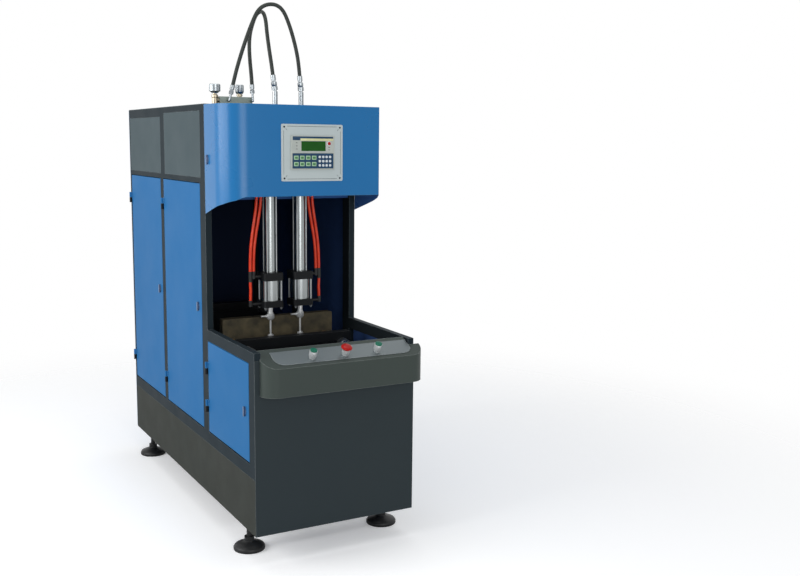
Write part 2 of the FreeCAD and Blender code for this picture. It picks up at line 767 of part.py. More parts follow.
def head_mount():
    """The head's back plate with a gusset welded on at each side."""
    low = hood_front_bottom - hood_side_drop + cross_tube
    plate = box("mount_plate", inside_width, mount_plate_sheet, top_plate_top - low, -frame_inside, mount_plate_y, low)
    reach = hood_reach * 0.8
    drop = hood_reach
    pieces = [plate]
    for word, x in (("left", -gusset_spread - gusset_sheet), ("right", gusset_spread)):
        body = body_at(f"gusset_{word}", x, mount_plate_y - reach, top_plate_bottom - drop)
        sketch = sketch_on(body, "YZ_Plane")
        outline(sketch, [(reach, 0), (reach, drop), (0, drop), (0, drop - 20), (reach - 20, 0)])
        pad(body, sketch, gusset_sheet)
        pieces.append(body)
    return node(fuse("head_mount", pieces))


def hood_keeper():
    """The bent plate on the mount plate behind which the hood latch's cam turns."""
    x = -frame_inside + keeper_inset
    z = hood_latch_z + latch_barrel + 6
    reach = latch_setback + mount_plate_setback + 27
    nose = keeper_inset + 3
    front = mount_plate_y - reach
    arm = box("keeper_arm", front_sheet, reach, keeper_height, x, front, z)
    tip = box("keeper_nose", nose, front_sheet, keeper_height, x - nose, front, z)
    foot = box("keeper_foot", keeper_foot, front_sheet, keeper_height, x, mount_plate_y - front_sheet, z)
    return node(fuse("hood_keeper", [arm, tip, foot]))


def control_plate():
    """The silver plate of the control panel, with a window for the display unit."""
    body = body_at("control_plate", control_plate_x - control_plate_width / 2, hood_front_y, control_plate_bottom)
    sketch = sketch_on(body, "XZ_Plane")
    rectangle(sketch, 0, 0, control_plate_width, control_plate_height)
    rectangle(sketch, (control_plate_width - display_width) / 2 + 5, (control_plate_height - display_height) / 2 + 5,
              display_width - 10, display_height - 10)
    feature = pad(body, sketch, panel_sheet)
    soften(body, feature, lambda edge: runs_along(edge, "y") and abs(edge.CenterOfMass.x - control_plate_width.number / 2)
           > control_plate_width.number / 2 - 1, cover_lap / 2)
    return node(body)


def display_unit():
    """The plastic housing of the controller: a bezel on the plate and a body through the window."""
    x = control_plate_x - display_width / 2
    z = control_plate_bottom + (control_plate_height - display_height) / 2
    face = hood_front_y - panel_sheet
    body = body_at("display_unit", x, face, z)
    sketch = sketch_on(body, "XZ_Plane")
    rectangle(sketch, 0, 0, display_width, display_height)
    bezel = pad(body, sketch, display_proud)
    soften(body, bezel, lambda edge: edge.BoundBox.YMax < 1 - display_proud.number, 2.5)
    rear = sketch_on(body, "XZ_Plane")
    rectangle(rear, 6, 6, display_width - 12, display_height - 12)
    pad(body, rear, display_rear, back=True)
    window = sketch_on(body, "XZ_Plane", display_proud)
    rectangle(window, display_width * 0.23, display_height * 0.55, display_width * 0.56, display_height * 0.29)
    pocket(body, window, 2)
    keys = sketch_on(body, "XZ_Plane", display_proud)
    rectangle(keys, 5, 5, display_width - 10, display_height * 0.45)
    pocket(body, keys, 1)
    return node(body)


def display_screen():
    """The liquid crystal glass in the unit's window."""
    x = control_plate_x - display_width / 2
    z = control_plate_bottom + (control_plate_height - display_height) / 2
    face = hood_front_y - panel_sheet - display_proud
    return node(box("display_screen", display_width * 0.56 - 1, 1.5, display_height * 0.29 - 1,
                    x + display_width * 0.23 + 0.5, face + 0.5, z + display_height * 0.55 + 0.5))


def key_membrane():
    """The key membrane: one sheet with two rows of four large keys and three rows of four small ones."""
    x = control_plate_x - display_width / 2 + 5.5
    z = control_plate_bottom + (control_plate_height - display_height) / 2 + 5.5
    width = display_width - 11
    height = display_height * 0.45 - 1
    body = body_at("key_membrane", x, hood_front_y - panel_sheet - display_proud + 1, z)
    sketch = sketch_on(body, "XZ_Plane")
    rectangle(sketch, 0, 0, width, height)
    pad(body, sketch, 1)
    domes = sketch_on(body, "XZ_Plane", 1)
    large_pitch = width * 0.145
    small_pitch = width * 0.085
    for column in range(4):
        for row in range(2):
            rectangle(domes, large_pitch * (column + 0.2), height * (0.15 + 0.42 * row), large_pitch * 0.78, height * 0.28)
        for row in range(3):
            rectangle(domes, width * 0.63 + small_pitch * column, height * (0.12 + 0.28 * row),
                      small_pitch * 0.72, height * 0.17)
    pad(body, domes, 0.8)
    return node(body)


# ---------------------------------------------------------------- operator ledge

def ledge_height(y):
    """Height of the ledge's sloping top, y measured back from the base's front face."""
    return ledge_front_top + (ledge_reach + y) * ledge_slope


def operator_ledge():
    """A folded console set a little to the right, with rolled front corners and a sloping top."""
    body = body_at("operator_ledge", ledge_shift - half_width, front_y - ledge_reach, ledge_bottom)
    sketch = sketch_on(body, "YZ_Plane")
    front_rise = ledge_front_top - ledge_bottom
    back_rise = ledge_height(as_size(0)) - ledge_bottom
    outline(sketch, [(0, 0), (ledge_reach, 0), (ledge_reach, back_rise), (0, front_rise)])
    block = pad(body, sketch, body_width)
    rounded = soften(body, block, lambda edge: runs_along(edge, "z") and edge.BoundBox.YMax < 1, ledge_corner)
    open_faces = faces_of(rounded, lambda face: face.normalAt(0, 0).z < -0.9
                          or face.CenterOfMass.y > ledge_reach.number - 1)
    shell = body.newObject("PartDesign::Thickness", "ledge_thickness")
    shell.Base = (rounded, open_faces)
    shell.Reversed = True
    bind(shell, "Value", panel_sheet)
    strip = sketch_on(body, "YZ_Plane", frame_depth + side_gap - ledge_shift)
    start = ledge_reach - 5
    inner = ledge_back - panel_sheet
    end = ledge_reach + ledge_back
    tip = base_top - ledge_bottom
    outline(strip, [
        (start, ledge_height(as_size(-5)) - ledge_bottom), (end, tip), (end, tip - ledge_flange),
        (end - panel_sheet, tip - ledge_flange), (end - panel_sheet, ledge_height(inner) - ledge_bottom - panel_sheet * 1.1),
        (start, ledge_height(as_size(-5)) - ledge_bottom - panel_sheet * 1.1)])
    pad(body, strip, inside_width - side_gap * 2)
    flange = sketch_on(body, "XZ_Plane", -ledge_reach)
    rectangle(flange, body_width - ledge_shift - ledge_flange, 0, ledge_shift + ledge_flange, back_rise - panel_sheet)
    pad(body, flange, panel_sheet)
    holes = sketch_on(body, "XY_Plane", ledge_front_top - ledge_bottom)
    for step in (-1, 0, 1):
        circle(holes, half_width - ledge_shift + button_middle_x + button_pitch * step,
               ledge_reach + button_spot(step)[1], 11)
    pocket(body, holes, cross_tube).Midplane = True
    return node(body)


def slope_turn():
    """The turn that lays a piece on the ledge's sloping top."""
    return Rotation(Vector(1, 0, 0), math.degrees(math.atan(ledge_slope)))


def slope_place(thing, x, y, lift=0.0):
    """Stands a piece on the slope, y back from the base's front face, lifted square to the slope."""
    angle = math.atan(ledge_slope)
    drop = lift * math.sin(angle)
    rise = lift * math.cos(angle)
    return place(thing, x, front_y + y - drop, ledge_height(as_size(y)) + rise, slope_turn())


def button_plate():
    """The silver plate on the slope, its front corners rounded like the ledge's, bored for three buttons."""
    body = doc.addObject("PartDesign::Body", "button_plate")
    slope_place(body, button_middle_x - button_plate_width / 2, button_plate_setback - ledge_reach, 0.3)
    sketch = sketch_on(body, "XY_Plane")
    rectangle(sketch, 0, 0, button_plate_width, button_plate_depth)
    for step in (-1, 0, 1):
        circle(sketch, button_plate_width / 2 + button_pitch * step, button_plate_depth * button_row, 11)
    feature = pad(body, sketch, 1.5)
    soften(body, feature, lambda edge: runs_along(edge, "z") and edge.BoundBox.YMax < 1, button_plate_depth * 0.5)
    return node(body)


def button_spot(step):
    """Where a button's axis meets the slope: x, and y back from the base's front face."""
    along = button_plate_depth * (button_row * math.cos(math.atan(ledge_slope)))
    return button_middle_x + button_pitch * step, along + button_plate_setback - ledge_reach


def spun(name, profile, x, y, lift):
    """A turned piece that stands square on the ledge's slope."""
    body = turned(name, profile)
    return slope_place(body, x, y, lift)


def button_bodies():
    """Three tall chrome button bodies on the plate; the outer two are recessed for their caps."""
    bodies = []
    for step in (-1, 0, 1):
        x, y = button_spot(step)
        rim = 33 if step else 24
        recess = rim - 9 if step else rim
        bodies.append(spun(f"button_body_{step + 1}", [
            (8.05, 0), (11.5, 0), (11.5, 5), (14.5, 12), (14.5, rim), (13.6, rim), (13.6, recess - 1),
            (8.05, recess - 1)], x, y, 2.1))
    return node(group("button_bodies", bodies))


def push_button(name, step):
    """A flush push button: a stem that runs in the body and a cap above it."""
    x, y = button_spot(step)
    return node(spun(name, [(0, 0), (8, 0), (8, 62), (13.3, 62), (13.3, 70), (11, 71), (0, 71.6)], x, y, button_lift))


def stop_button():
    """The red mushroom button, its head domed."""
    x, y = button_spot(0)
    return node(spun("stop_button", [
        (0, 0), (8, 0), (8, 62.2), (18, 62.6), (21, 66), (20.5, 68.5), (16, 72), (8, 73.8), (0, 74.3)], x, y, button_lift))


# ---------------------------------------------------------------- stretch-and-seal cylinders

def cap_block(name, side, height, x, z, bore=None):
    """A square cylinder cap with chamfered corners; the lower ones are bored for the rod."""
    body = body_at(name, x - side / 2, axis_y - side / 2, z)
    sketch = sketch_on(body, "XY_Plane")
    rectangle(sketch, 0, 0, side, side)
    if bore is not None:
        circle(sketch, side / 2, side / 2, bore)
    feature = pad(body, sketch, height)
    soften(body, feature, lambda edge: runs_along(edge, "z") and is_corner(edge, side), side * 0.07, "Chamfer")
    return body


def is_corner(edge, side):
    """True for a cap's own four upright edges, not for the seam of its bore."""
    middle = side.number / 2
    return math.hypot(edge.CenterOfMass.x - middle, edge.CenterOfMass.y - middle) > side.number * 0.6


def barrel(name, bore, wall, height, x, z):
    """A drawn barrel."""
    outer = rod(f"{name}_outer", bore + wall, height, x, axis_y, z)
    return cut(name, outer, [rod(f"{name}_inner", bore, height, x, axis_y, z)])


def tie_rods(name, spread, radius, height, x, z):
    """Four tie rods with a nut at each end."""
    rods = []
    for row, (dx, dy) in enumerate(((-1, -1), (1, -1), (1, 1), (-1, 1))):
        rods.append(rod(f"{name}_{row}", radius, height, x + spread / 2 * dx, axis_y + spread / 2 * dy, z))
    return rods


def cylinders():
    """Two cylinders side by side: a slim stretch cylinder on a short, wide seal cylinder."""
    caps, barrels, rods = [], [], []
    stretch_rise = stretch_top - stretch_bottom
    for word, x in (("left", -axis_x), ("right", axis_x)):
        caps.append(cap_block(f"top_cap_{word}", stretch_cap_side, stretch_cap_height, x, stretch_top))
        caps.append(cap_block(f"middle_cap_{word}", seal_cap_side, middle_cap_height, x, middle_cap_bottom,
                              stretch_rod_radius + running_gap))
        caps.append(cap_block(f"lower_cap_{word}", seal_cap_side, lower_cap_height, x, lower_cap_bottom,
                              seal_rod_radius + running_gap))
        barrels.append(barrel(f"stretch_barrel_{word}", stretch_bore, stretch_wall, stretch_rise, x, stretch_bottom))
        barrels.append(barrel(f"seal_barrel_{word}", seal_bore, seal_wall, seal_barrel_height, x, seal_barrel_bottom))
        rods += tie_rods(f"stretch_tie_{word}", stretch_bore * 1.9 + 1, 3, stretch_rise, x, stretch_bottom)
        rods += tie_rods(f"seal_tie_{word}", seal_bore * 1.9 + 1, 4, seal_barrel_height, x, seal_barrel_bottom)
    node(group("cylinder_caps", caps))
    node(group("cylinder_barrels", barrels))
    node(group("cylinder_tie_rods", rods))


def seal_rod(name, x):
    """The hollow seal rod with its piston above and the nozzle below, bored for the stretch rod."""
    bottom = lower_cap_bottom - 56
    top = middle_cap_bottom - 2
    nut_z = lower_cap_bottom - 29 - bottom
    body_z = lower_cap_bottom - 3 - bottom
    piston_z = top - piston_height - bottom
    end_z = top - bottom
    r_piston = seal_bore - running_gap
    spindle = turned(f"{name}_spindle", [
        (seal_rod_bore, 0), (9, 0), (13, 4), (15.5, 8), (15.5, 24), (12, 26), (12, nut_z + 4), (10, nut_z + 4),
        (10, body_z), (seal_rod_radius, body_z), (seal_rod_radius, piston_z), (r_piston, piston_z), (r_piston, end_z),
        (seal_rod_bore, end_z)], x, axis_y, bottom)
    port = rod(f"{name}_port", 3.5, 26, x - 14, axis_y, bottom + 16, "-x")
    port_nut = rod(f"{name}_port_nut", 6, 7, x - 14, axis_y, bottom + 16, "-x")
    return node(fuse(name, [spindle, port, port_nut]))


def stretch_rod(name, x):
    """The stretch rod: a piston in the slim barrel, a thin rod down through the nozzle and a disc end."""
    rise = stretch_top - stretch_rod_end
    r_piston = stretch_bore - running_gap
    return node(turned(name, [
        (0, 0), (9, 0), (12, 2.5), (12, 6.5), (9, 9), (stretch_rod_radius, 9), (stretch_rod_radius, rise - piston_height - 6),
        (r_piston, rise - piston_height - 6), (r_piston, rise - 6), (0, rise - 6)], x, axis_y, stretch_rod_end))


STUB_LEANS = {"left": -8, "right": -5}
ELBOW_LEANS = {"left": 14, "right": -3}


def stub_end(word, side):
    """Where a stub's leaning union ends and the hose begins."""
    return lean_end(stub_pitch / 2 * side, front_y + stub_y, top_plate_top + stub_height, STUB_LEANS[word],
                    stub_union_rise)


def bulkhead_stub(word, side):
    """A chrome air inlet through the top plate: nut below, tube above, then a leaning union and ferrule."""
    low = top_plate_bottom - 18
    seat = top_plate_bottom - low
    top = top_plate_top + stub_height - low
    x, y = stub_pitch / 2 * side, front_y + stub_y
    pipe = turned(f"stub_{word}_pipe", [
        (0, 0), (7, 0), (7, 6), (12.5, 6), (12.5, seat), (stub_radius, seat), (stub_radius, top), (0, top)], x, y, low)
    union = turned(f"stub_{word}_union", [
        (0, -4), (7, -4), (7, 5), (12, 5), (12, 19), (10, 21), (11.5, 25), (11.5, 35), (8, 39), (8, 43), (10, 43),
        (10, stub_union_rise), (0, stub_union_rise)], x, y, top_plate_top + stub_height, turn=leaning(STUB_LEANS[word]))
    return fuse(f"stub_{word}", [pipe, union])


def hose_elbow(word, x, rise):
    """A thin bent pipe out of the manifold's front face, turned up to a union and the hose's ferrule."""
    name = f"elbow_{word}"
    y = front_y + elbow_y
    level = tower_top + manifold_side / 2
    reach = manifold_y - manifold_side / 2 - elbow_y
    across = rod(f"{name}_across", elbow_radius, reach, x, y, level, "y")
    knee = place(doc.addObject("Part::Sphere", f"{name}_knee"), x, y, level)
    bind(knee, "Radius", elbow_radius)
    upright = turned(f"{name}_upright", [
        (0, 0), (elbow_radius, 0), (elbow_radius, rise - 34), (9, rise - 34), (9, rise - 22), (7, rise - 19),
        (7, rise - 16), (9, rise - 16), (9, rise), (0, rise)], x, y, level, turn=leaning(ELBOW_LEANS[word]))
    return fuse(name, [across, knee, upright])


def hose_fittings():
    """The four ends of the two black hoses: two elbows on the manifold, two stubs in the top plate."""
    return node(group("hose_fittings", [
        bulkhead_stub("left", -1), bulkhead_stub("right", 1),
        hose_elbow("left", left_elbow_x, left_elbow_rise), hose_elbow("right", right_elbow_x, right_elbow_rise)]))


# ---------------------------------------------------------------- clamp

def tie_bar_spots():
    """The four tie bars as (x, z)."""
    return [(tie_bar_spread / 2 * side, z) for side in (-1, 1) for z in (tie_bar_low, tie_bar_high)]


def platen(name, y, low, top, bar_hole, centre_hole=None, mould_holes=True):
    """A thick plate across the machine, bored for the tie bars and for the mould bolts or the clamp rod."""
    left = -platen_width / 2
    body = body_at(name, left, y, low)
    sketch = sketch_on(body, "XZ_Plane")
    rectangle(sketch, 0, 0, platen_width, top - low)
    for x, z in tie_bar_spots():
        circle(sketch, x - left, z - low, bar_hole)
    if mould_holes:
        for side in (-1, 1):
            for level in (-1, 1):
                circle(sketch, mould_bolt_spread / 2 * side - left,
                       clamp_axis_z + mould_bolt_height / 2 * level - low, mould_bolt_radius)
    if centre_hole is not None:
        circle(sketch, -left, clamp_axis_z - low, centre_hole)
    feature = pad(body, sketch, platen_sheet, back=True)
    soften(body, feature, lambda edge: runs_along(edge, "y") and edge.BoundBox.DiagonalLength > 1, 4, "Chamfer")
    return node(body)


def platen_bushes():
    """Four flanged bronze bushes that carry the moving platen on the tie bars."""
    bushes = []
    length = platen_sheet + bush_flange
    for row, (x, z) in enumerate(tie_bar_spots()):
        inner = tie_bar_radius + running_gap
        bushes.append(turned(f"bush_{row}", [
            (inner, 0), (bush_radius, 0), (bush_radius, platen_sheet), (bush_radius + bush_flange, platen_sheet),
            (bush_radius + bush_flange, length), (inner, length)], x, moving_platen_y, z, "y"))
    return node(group("platen_bushes", bushes))


def tie_bars():
    """Four ground bars from the fixed platen to the tail plate."""
    start = fixed_platen_y - tie_nut_height - 4
    length = tail_y + platen_sheet + tie_nut_height + 4 - start
    bars = [rod(f"tie_bar_{row}", tie_bar_radius, length, x, start, z, "y") for row, (x, z) in enumerate(tie_bar_spots())]
    return node(group("tie_bars", bars))


def hexagon(sketch, x, y, radius):
    """A hexagon across its corners."""
    points = []
    for step in range(6):
        turn = math.radians(60 * step + 30)
        points.append((x + radius * math.cos(turn), y + radius * math.sin(turn)))
    outline(sketch, points)


def hex_nut(name, radius, bore, height, x, y, z, along):
    """A hexagon nut, placed by the middle of its seat."""
    body = body_at(name, x, y, z, AXIS_TURNS[along])
    sketch = sketch_on(body, "XY_Plane")
    hexagon(sketch, as_size(0), as_size(0), radius)
    circle(sketch, 0, 0, bore)
    pad(body, sketch, height)
    return body


def tie_bar_nuts():
    """A nut on each end of each tie bar."""
    nuts = []
    for row, (x, z) in enumerate(tie_bar_spots()):
        bore = tie_bar_radius + running_gap
        nuts.append(hex_nut(f"tie_nut_front_{row}", tie_nut_radius, bore, tie_nut_height, x,
                            fixed_platen_y - tie_nut_height, z, "y"))
        nuts.append(hex_nut(f"tie_nut_rear_{row}", tie_nut_radius, bore, tie_nut_height, x, tail_y + platen_sheet, z, "y"))
    return nuts


def clamp_cylinder():
    """The clamp's barrel between two square caps, bolted to the back of the tail plate."""
    front = tail_y + platen_sheet
    corner = -clamp_cap_side / 2
    front_cap = box("clamp_front_cap", clamp_cap_side, clamp_cap_depth, clamp_cap_side, corner, front, clamp_axis_z + corner)
    tube = rod("clamp_tube", clamp_bore + clamp_wall, clamp_barrel_length, 0, front + clamp_cap_depth, clamp_axis_z, "y")
    rear_cap = box("clamp_rear_cap", clamp_cap_side, clamp_cap_depth, clamp_cap_side, corner,
                   front + clamp_cap_depth + clamp_barrel_length, clamp_axis_z + corner)
    outer = fuse("clamp_outer", [front_cap, tube, rear_cap])
    bore = rod("clamp_bore_tool", clamp_bore, clamp_barrel_length, 0, front + clamp_cap_depth, clamp_axis_z, "y")
    rod_hole = rod("clamp_rod_hole", clamp_rod_radius + running_gap, clamp_cap_depth * 2, 0, front, clamp_axis_z, "y")
    return node(cut("clamp_cylinder", outer, [bore, rod_hole]))


def clamp_rod():
    """The clamp rod: a flange on the moving platen, a long rod and its piston in the clamp cylinder."""
    start = moving_platen_y + platen_sheet
    piston_at = tail_y + platen_sheet + clamp_cap_depth + 6 - start
    r_piston = clamp_bore - running_gap
    return node(turned("clamp_rod", [
        (0, 0), (clamp_flange_radius, 0), (clamp_flange_radius, clamp_flange_depth),
        (clamp_rod_radius * 1.5, clamp_flange_depth * 1.6), (clamp_rod_radius, clamp_flange_depth * 1.6),
        (clamp_rod_radius, piston_at), (r_piston, piston_at), (r_piston, piston_at + clamp_piston_depth),
        (0, piston_at + clamp_piston_depth)], 0, start, clamp_axis_z, "y"))


# ---------------------------------------------------------------- feet

def foot_spots():
    """The four feet as (x, y)."""
    return [(x, y) for x in (-half_width + foot_inset, half_width - foot_inset)
            for y in (front_y + foot_front, rear_y - foot_rear)]


def levelling_feet():
    """Four levelling feet: a bell-shaped pad with its stud, screwed up into the foot tubes."""
    feet = []
    top = floor_clearance + cross_wall + 14
    for row, (x, y) in enumerate(foot_spots()):
        feet.append(turned(f"foot_{row}", [
            (0, 0), (foot_radius * 0.97, 0), (foot_radius, foot_hub_height * 0.06), (foot_radius, foot_hub_height * 0.22),
            (foot_radius * 0.92, foot_hub_height * 0.36), (foot_radius * 0.66, foot_hub_height * 0.5),
            (foot_radius * 0.4, foot_hub_height * 0.6), (foot_hub_radius, foot_hub_height * 0.68),
            (foot_hub_radius, foot_hub_height), (foot_stud, foot_hub_height), (foot_stud, top), (0, top)], x, y, 0))
    return node(group("levelling_feet", feet))


def foot_nuts():
    """A lock nut on each stud, hard up against the plinth."""
    return [hex_nut(f"foot_nut_{row}", foot_stud * 1.9, foot_stud + running_gap, 16, x, y, floor_clearance - 16, "z")
            for row, (x, y) in enumerate(foot_spots())]


def hex_nuts():
    """All hexagon nuts: on the tie bars and on the feet."""
    return node(group("hex_nuts", tie_bar_nuts() + foot_nuts()))


# ---------------------------------------------------------------- air parts

def air_manifold():
    """The air manifold on the roof, bored from its right end for the supply."""
    x = manifold_x - manifold_length / 2
    y = front_y + manifold_y - manifold_side / 2
    block = box("manifold_block", manifold_length, manifold_side, manifold_side, x, y, tower_top)
    inlet = rod("manifold_inlet", 9, 20, manifold_x + manifold_length / 2 - 20, front_y + manifold_y,
                tower_top + manifold_side / 2, "x")
    return node(cut("air_manifold", block, [inlet]))


def regulator_spots():
    """The two regulators along the manifold."""
    return [("left", manifold_x - manifold_length / 2 - 16, knob_radius),
            ("right", manifold_x + manifold_length * 0.14, small_knob_radius)]


def regulator_bodies():
    """Brass regulator bodies: the left one stands off the manifold's end on a stub, the right one on its top."""
    y = front_y + manifold_y
    left_x = regulator_spots()[0][1]
    right_x = regulator_spots()[1][1]
    post = turned("regulator_left_post", [
        (0, 0), (11, 0), (11, 24), (13, 26), (13, 36), (7, 38), (7, 44), (0, 44)], left_x, y, tower_top)
    stub = rod("regulator_left_stub", 7, manifold_x - manifold_length / 2 - left_x, left_x, y,
               tower_top + manifold_side / 2, "x")
    right = turned("regulator_right_post", [
        (0, 0), (9, 0), (9, 3), (12, 4), (12, 10), (7, 11), (7, 14), (0, 14)], right_x, y, tower_top + manifold_side)
    return node(group("regulator_bodies", [fuse("regulator_left", [post, stub]), right]))


def regulator_knob(name, x, radius):
    """A chrome knob with a fluted rim, turned on the regulator's neck."""
    low = tower_top + manifold_side + 10.3
    body = body_at(name, x, front_y + manifold_y, low)
    sketch = sketch_on(body, "XZ_Plane")
    outline(sketch, [(0, 4.3), (7.3, 4.3), (7.3, 2), (13, 2), (15, 6), (radius, 10), (radius, 34),
                     (radius - 3, 37), (0, 37)])
    spin = body.newObject("PartDesign::Revolution", f"{name}_revolution")
    spin.Profile = sketch
    spin.ReferenceAxis = (sketch, ["V_Axis"])
    spin.Angle = 360
    flute = sketch_on(body, "XY_Plane", 12)
    circle(flute, radius + 1, 0, 2.4)
    groove = pocket(body, flute, 30, back=True)
    pattern = body.newObject("PartDesign::PolarPattern", f"{name}_flutes")
    pattern.Originals = [groove]
    axis = [item for item in body.Origin.OriginFeatures if item.Role == "Z_Axis"][0]
    pattern.Axis = (axis, [""])
    pattern.Angle = 360
    pattern.Occurrences = 10
    body.Tip = pattern
    return node(body)


def port_fittings():
    """Push-in fittings on the cylinders' middle and lower caps."""
    fittings = []
    out = axis_x + seal_cap_side / 2
    for word, side in (("left", -1), ("right", 1)):
        stub_along = "-x" if side < 0 else "x"
        level = middle_cap_bottom + middle_cap_height / 2
        far = out + 44
        mid = [rod(f"mid_stub_{word}", 6, 44, out * side, axis_y, level, stub_along)]
        for row, reach in enumerate((29, 43)):
            mid.append(rod(f"mid_up_{word}_{row}", 8, 30, (out + reach) * side, axis_y, level - 8))
        mid.append(rod(f"mid_down_{word}", 8, 22, (out + 43) * side, axis_y, level - 20))
        fittings.append(fuse(f"mid_fitting_{word}", mid))
        low_level = lower_cap_bottom + lower_cap_height / 2
        low = [rod(f"low_stub_{word}", 6, 43, out * side, axis_y, low_level, stub_along),
               rod(f"low_up_{word}", 8, 24, (out + 43) * side, axis_y, low_level - 8)]
        fittings.append(fuse(f"low_fitting_{word}", low))
    return node(group("port_fittings", fittings))


def valve_blocks():
    """A valve block at each side of the mount plate, inside the hood, with the sockets of the long tubes."""
    low = hood_front_bottom + cross_tube
    blocks = []
    for word, side in (("left", -1), ("right", 1)):
        inner = axis_x + seal_bore * 0.8
        x = inner if side > 0 else -inner - valve_block_width
        block = box(f"valve_body_{word}", valve_block_width, 40, cross_tube, x, mount_plate_y - 40, low)
        sockets = [rod(f"valve_socket_{word}_{row}", 8, 12, reach * side, axis_y, low - 12)
                   for row, reach in enumerate((101, 119))]
        blocks.append(fuse(f"valve_block_{word}", [block] + sockets))
    return node(group("valve_blocks", blocks))


# ---------------------------------------------------------------- tubes and hoses

def tube(name, radius, route):
    """A bent tube: straight runs joined by arcs that touch them, each arc as large as its two runs allow."""
    points = [Vector(*[as_size(value).number for value in point]) for point in route]
    edges = []
    start = points[0]
    radii = []
    for before, corner, after in zip(points, points[1:], points[2:]):
        run_in = (corner - before).normalize()
        run_out = (after - corner).normalize()
        half_turn = run_in.getAngle(run_out) / 2
        setback = 0.45 * min(corner.distanceToPoint(before), corner.distanceToPoint(after))
        radii.append(setback / math.tan(half_turn))
        arc_start = corner - run_in * setback
        arc_end = corner + run_out * setback
        inward = (run_out - run_in).normalize()
        middle = corner + inward * (radii[-1] / math.cos(half_turn) - radii[-1])
        edges.append(Part.LineSegment(start, arc_start).toShape())
        edges.append(Part.Arc(arc_start, middle, arc_end).toShape())
        start = arc_end
    edges.append(Part.LineSegment(start, points[-1]).toShape())
    path = Part.Wire(edges)
    section = Part.Wire([Part.makeCircle(radius.number, points[0], points[1] - points[0])])
    solid = path.makePipeShell([section], True, False)
    straight = math.pi * radius.number ** 2 * path.Length
    print(f"{name}: length {path.Length:.0f} mm, least bend {min(radii):.0f} mm, volume ratio {solid.Volume / straight:.4f}")
    piece = doc.addObject("Part::Feature", name)
    piece.Shape = solid
    return piece


def mirrored_route(route, side):
    """The same route on the other side of the machine's middle plane."""
    return [(as_size(x) * side, y, z) for x, y, z in route]


def air_tubes():
    """Six red air tubes: two long ones to each middle cap, and a short link down to each lower cap."""
    tubes = []
    out = axis_x + seal_cap_side / 2
    low = middle_cap_bottom + middle_cap_height / 2 + 22
    top = hood_front_bottom + cross_tube - 12
    for word, side in (("left", -1), ("right", 1)):
        for row, (foot, head) in enumerate(((29, 101), (43, 119))):
            x = out + foot
            shift = as_size(head) - x
            route = [(x + shift * across, axis_y, low + (top - low) * up)
                     for across, up in ((0, 0), (0, 0.15), (0.2, 0.37), (0.75, 0.655), (1, 0.85), (1, 1))]
            tubes.append(tube(f"tube_{word}_{row}", tube_radius, mirrored_route(route, side)))
        upper = middle_cap_bottom + middle_cap_height / 2 - 20
        lower = lower_cap_bottom + lower_cap_height / 2 + 16
        x = out + 43
        fall = upper - lower
        route = [(x, axis_y, upper), (x, axis_y, upper - fall * 0.245), (x - 1.5, axis_y, upper - fall / 2),
                 (x, axis_y, lower + fall * 0.245), (x, axis_y, lower)]
        tubes.append(tube(f"link_{word}", tube_radius, mirrored_route(route, side)))
    return node(group("air_tubes", tubes))


def from_end(end, steps):
    """Route points given as steps away from the place where a hose meets its fitting."""
    return [tuple(start + step for start, step in zip(end, point)) for point in steps]


def air_hoses():
    """Two black hoses: a wide arch from the left elbow to the right stub, a narrow loop between the others."""
    elbow_at, level = front_y + elbow_y, tower_top + manifold_side / 2
    left_elbow = lean_end(left_elbow_x, elbow_at, level, ELBOW_LEANS["left"], left_elbow_rise)
    right_elbow = lean_end(right_elbow_x, elbow_at, level, ELBOW_LEANS["right"], right_elbow_rise)
    arch = from_end(left_elbow, [
        (0, 0, 0), (11, 0, 44), (28, -6, 105), (49, -12, 170), (72, -18, 233), (96, -24, 288), (126, -32, 311),
        (163, -41, 314)])
    arch += from_end(stub_end("right", 1), [
        (-62, 15, 251), (-40, 10, 199), (-23, 6, 143), (-11, 2, 90), (-4, 0, 44), (0, 0, 0)])
    loop = from_end(right_elbow, [
        (0, 0, 0), (-2, 0, 35), (-3, 12, 93), (3, 34, 149), (14, 55, 195), (29, 67, 236), (38, 44, 278), (45, -3, 285),
        (44, -39, 253)])
    loop += from_end(stub_end("left", -1), [(-17, 14, 156), (-13, 4, 97), (-5, 0, 38), (0, 0, 0)])
    node(tube("left_air_hose", hose_radius, arch))
    node(tube("right_air_hose", hose_radius, loop))


for build in (cross_members, plinth_channels, bed_rails, front_panel, rear_panel, roof_panel):
    build()
side_frame("side_frame_left", -half_width, as_size(0), (3, 4))
side_frame("side_frame_right", frame_inside, frame_depth - panel_sheet, (0, 1, 2, 3, 4))
flush_plates("upper_covers", -half_width, (3, 4))
flush_plates("right_side_panels", half_width - panel_sheet, (0, 1, 2, 3, 4))
door_pan("base_door", base_opening_y, base_opening_end, door_sill, base_opening_top)
door_pan("tower_door", tower_opening_y, middle_post_y, door_sill, door_head)
door_pan("rear_door", rear_opening_y, rear_opening_end, door_sill, door_head)
fixed_hinges()
latch_reach = frame_depth + side_gap * 2
for latch_name, latch_y, latch_z in (
        ("base_door_latch", base_opening_y, (door_sill + base_opening_top) / 2),
        ("tower_door_latch", tower_opening_y, (door_sill + door_head) / 2),
        ("rear_door_latch", rear_opening_y, (door_sill + door_head) / 2)):
    quarter_latch(latch_name, -half_width, latch_y + latch_setback, latch_z, latch_reach)
hood()
quarter_latch("hood_latch", -half_width, hood_front_y + hood_reach - latch_setback,
              hood_latch_z, latch_reach, cam_up=False)
for build in (top_plate, head_mount, hood_keeper, control_plate, display_unit, display_screen, key_membrane,
              operator_ledge, button_plate, button_bodies, stop_button, cylinders, hose_fittings):
    build()
push_button("left_button", -1)
push_button("right_button", 1)
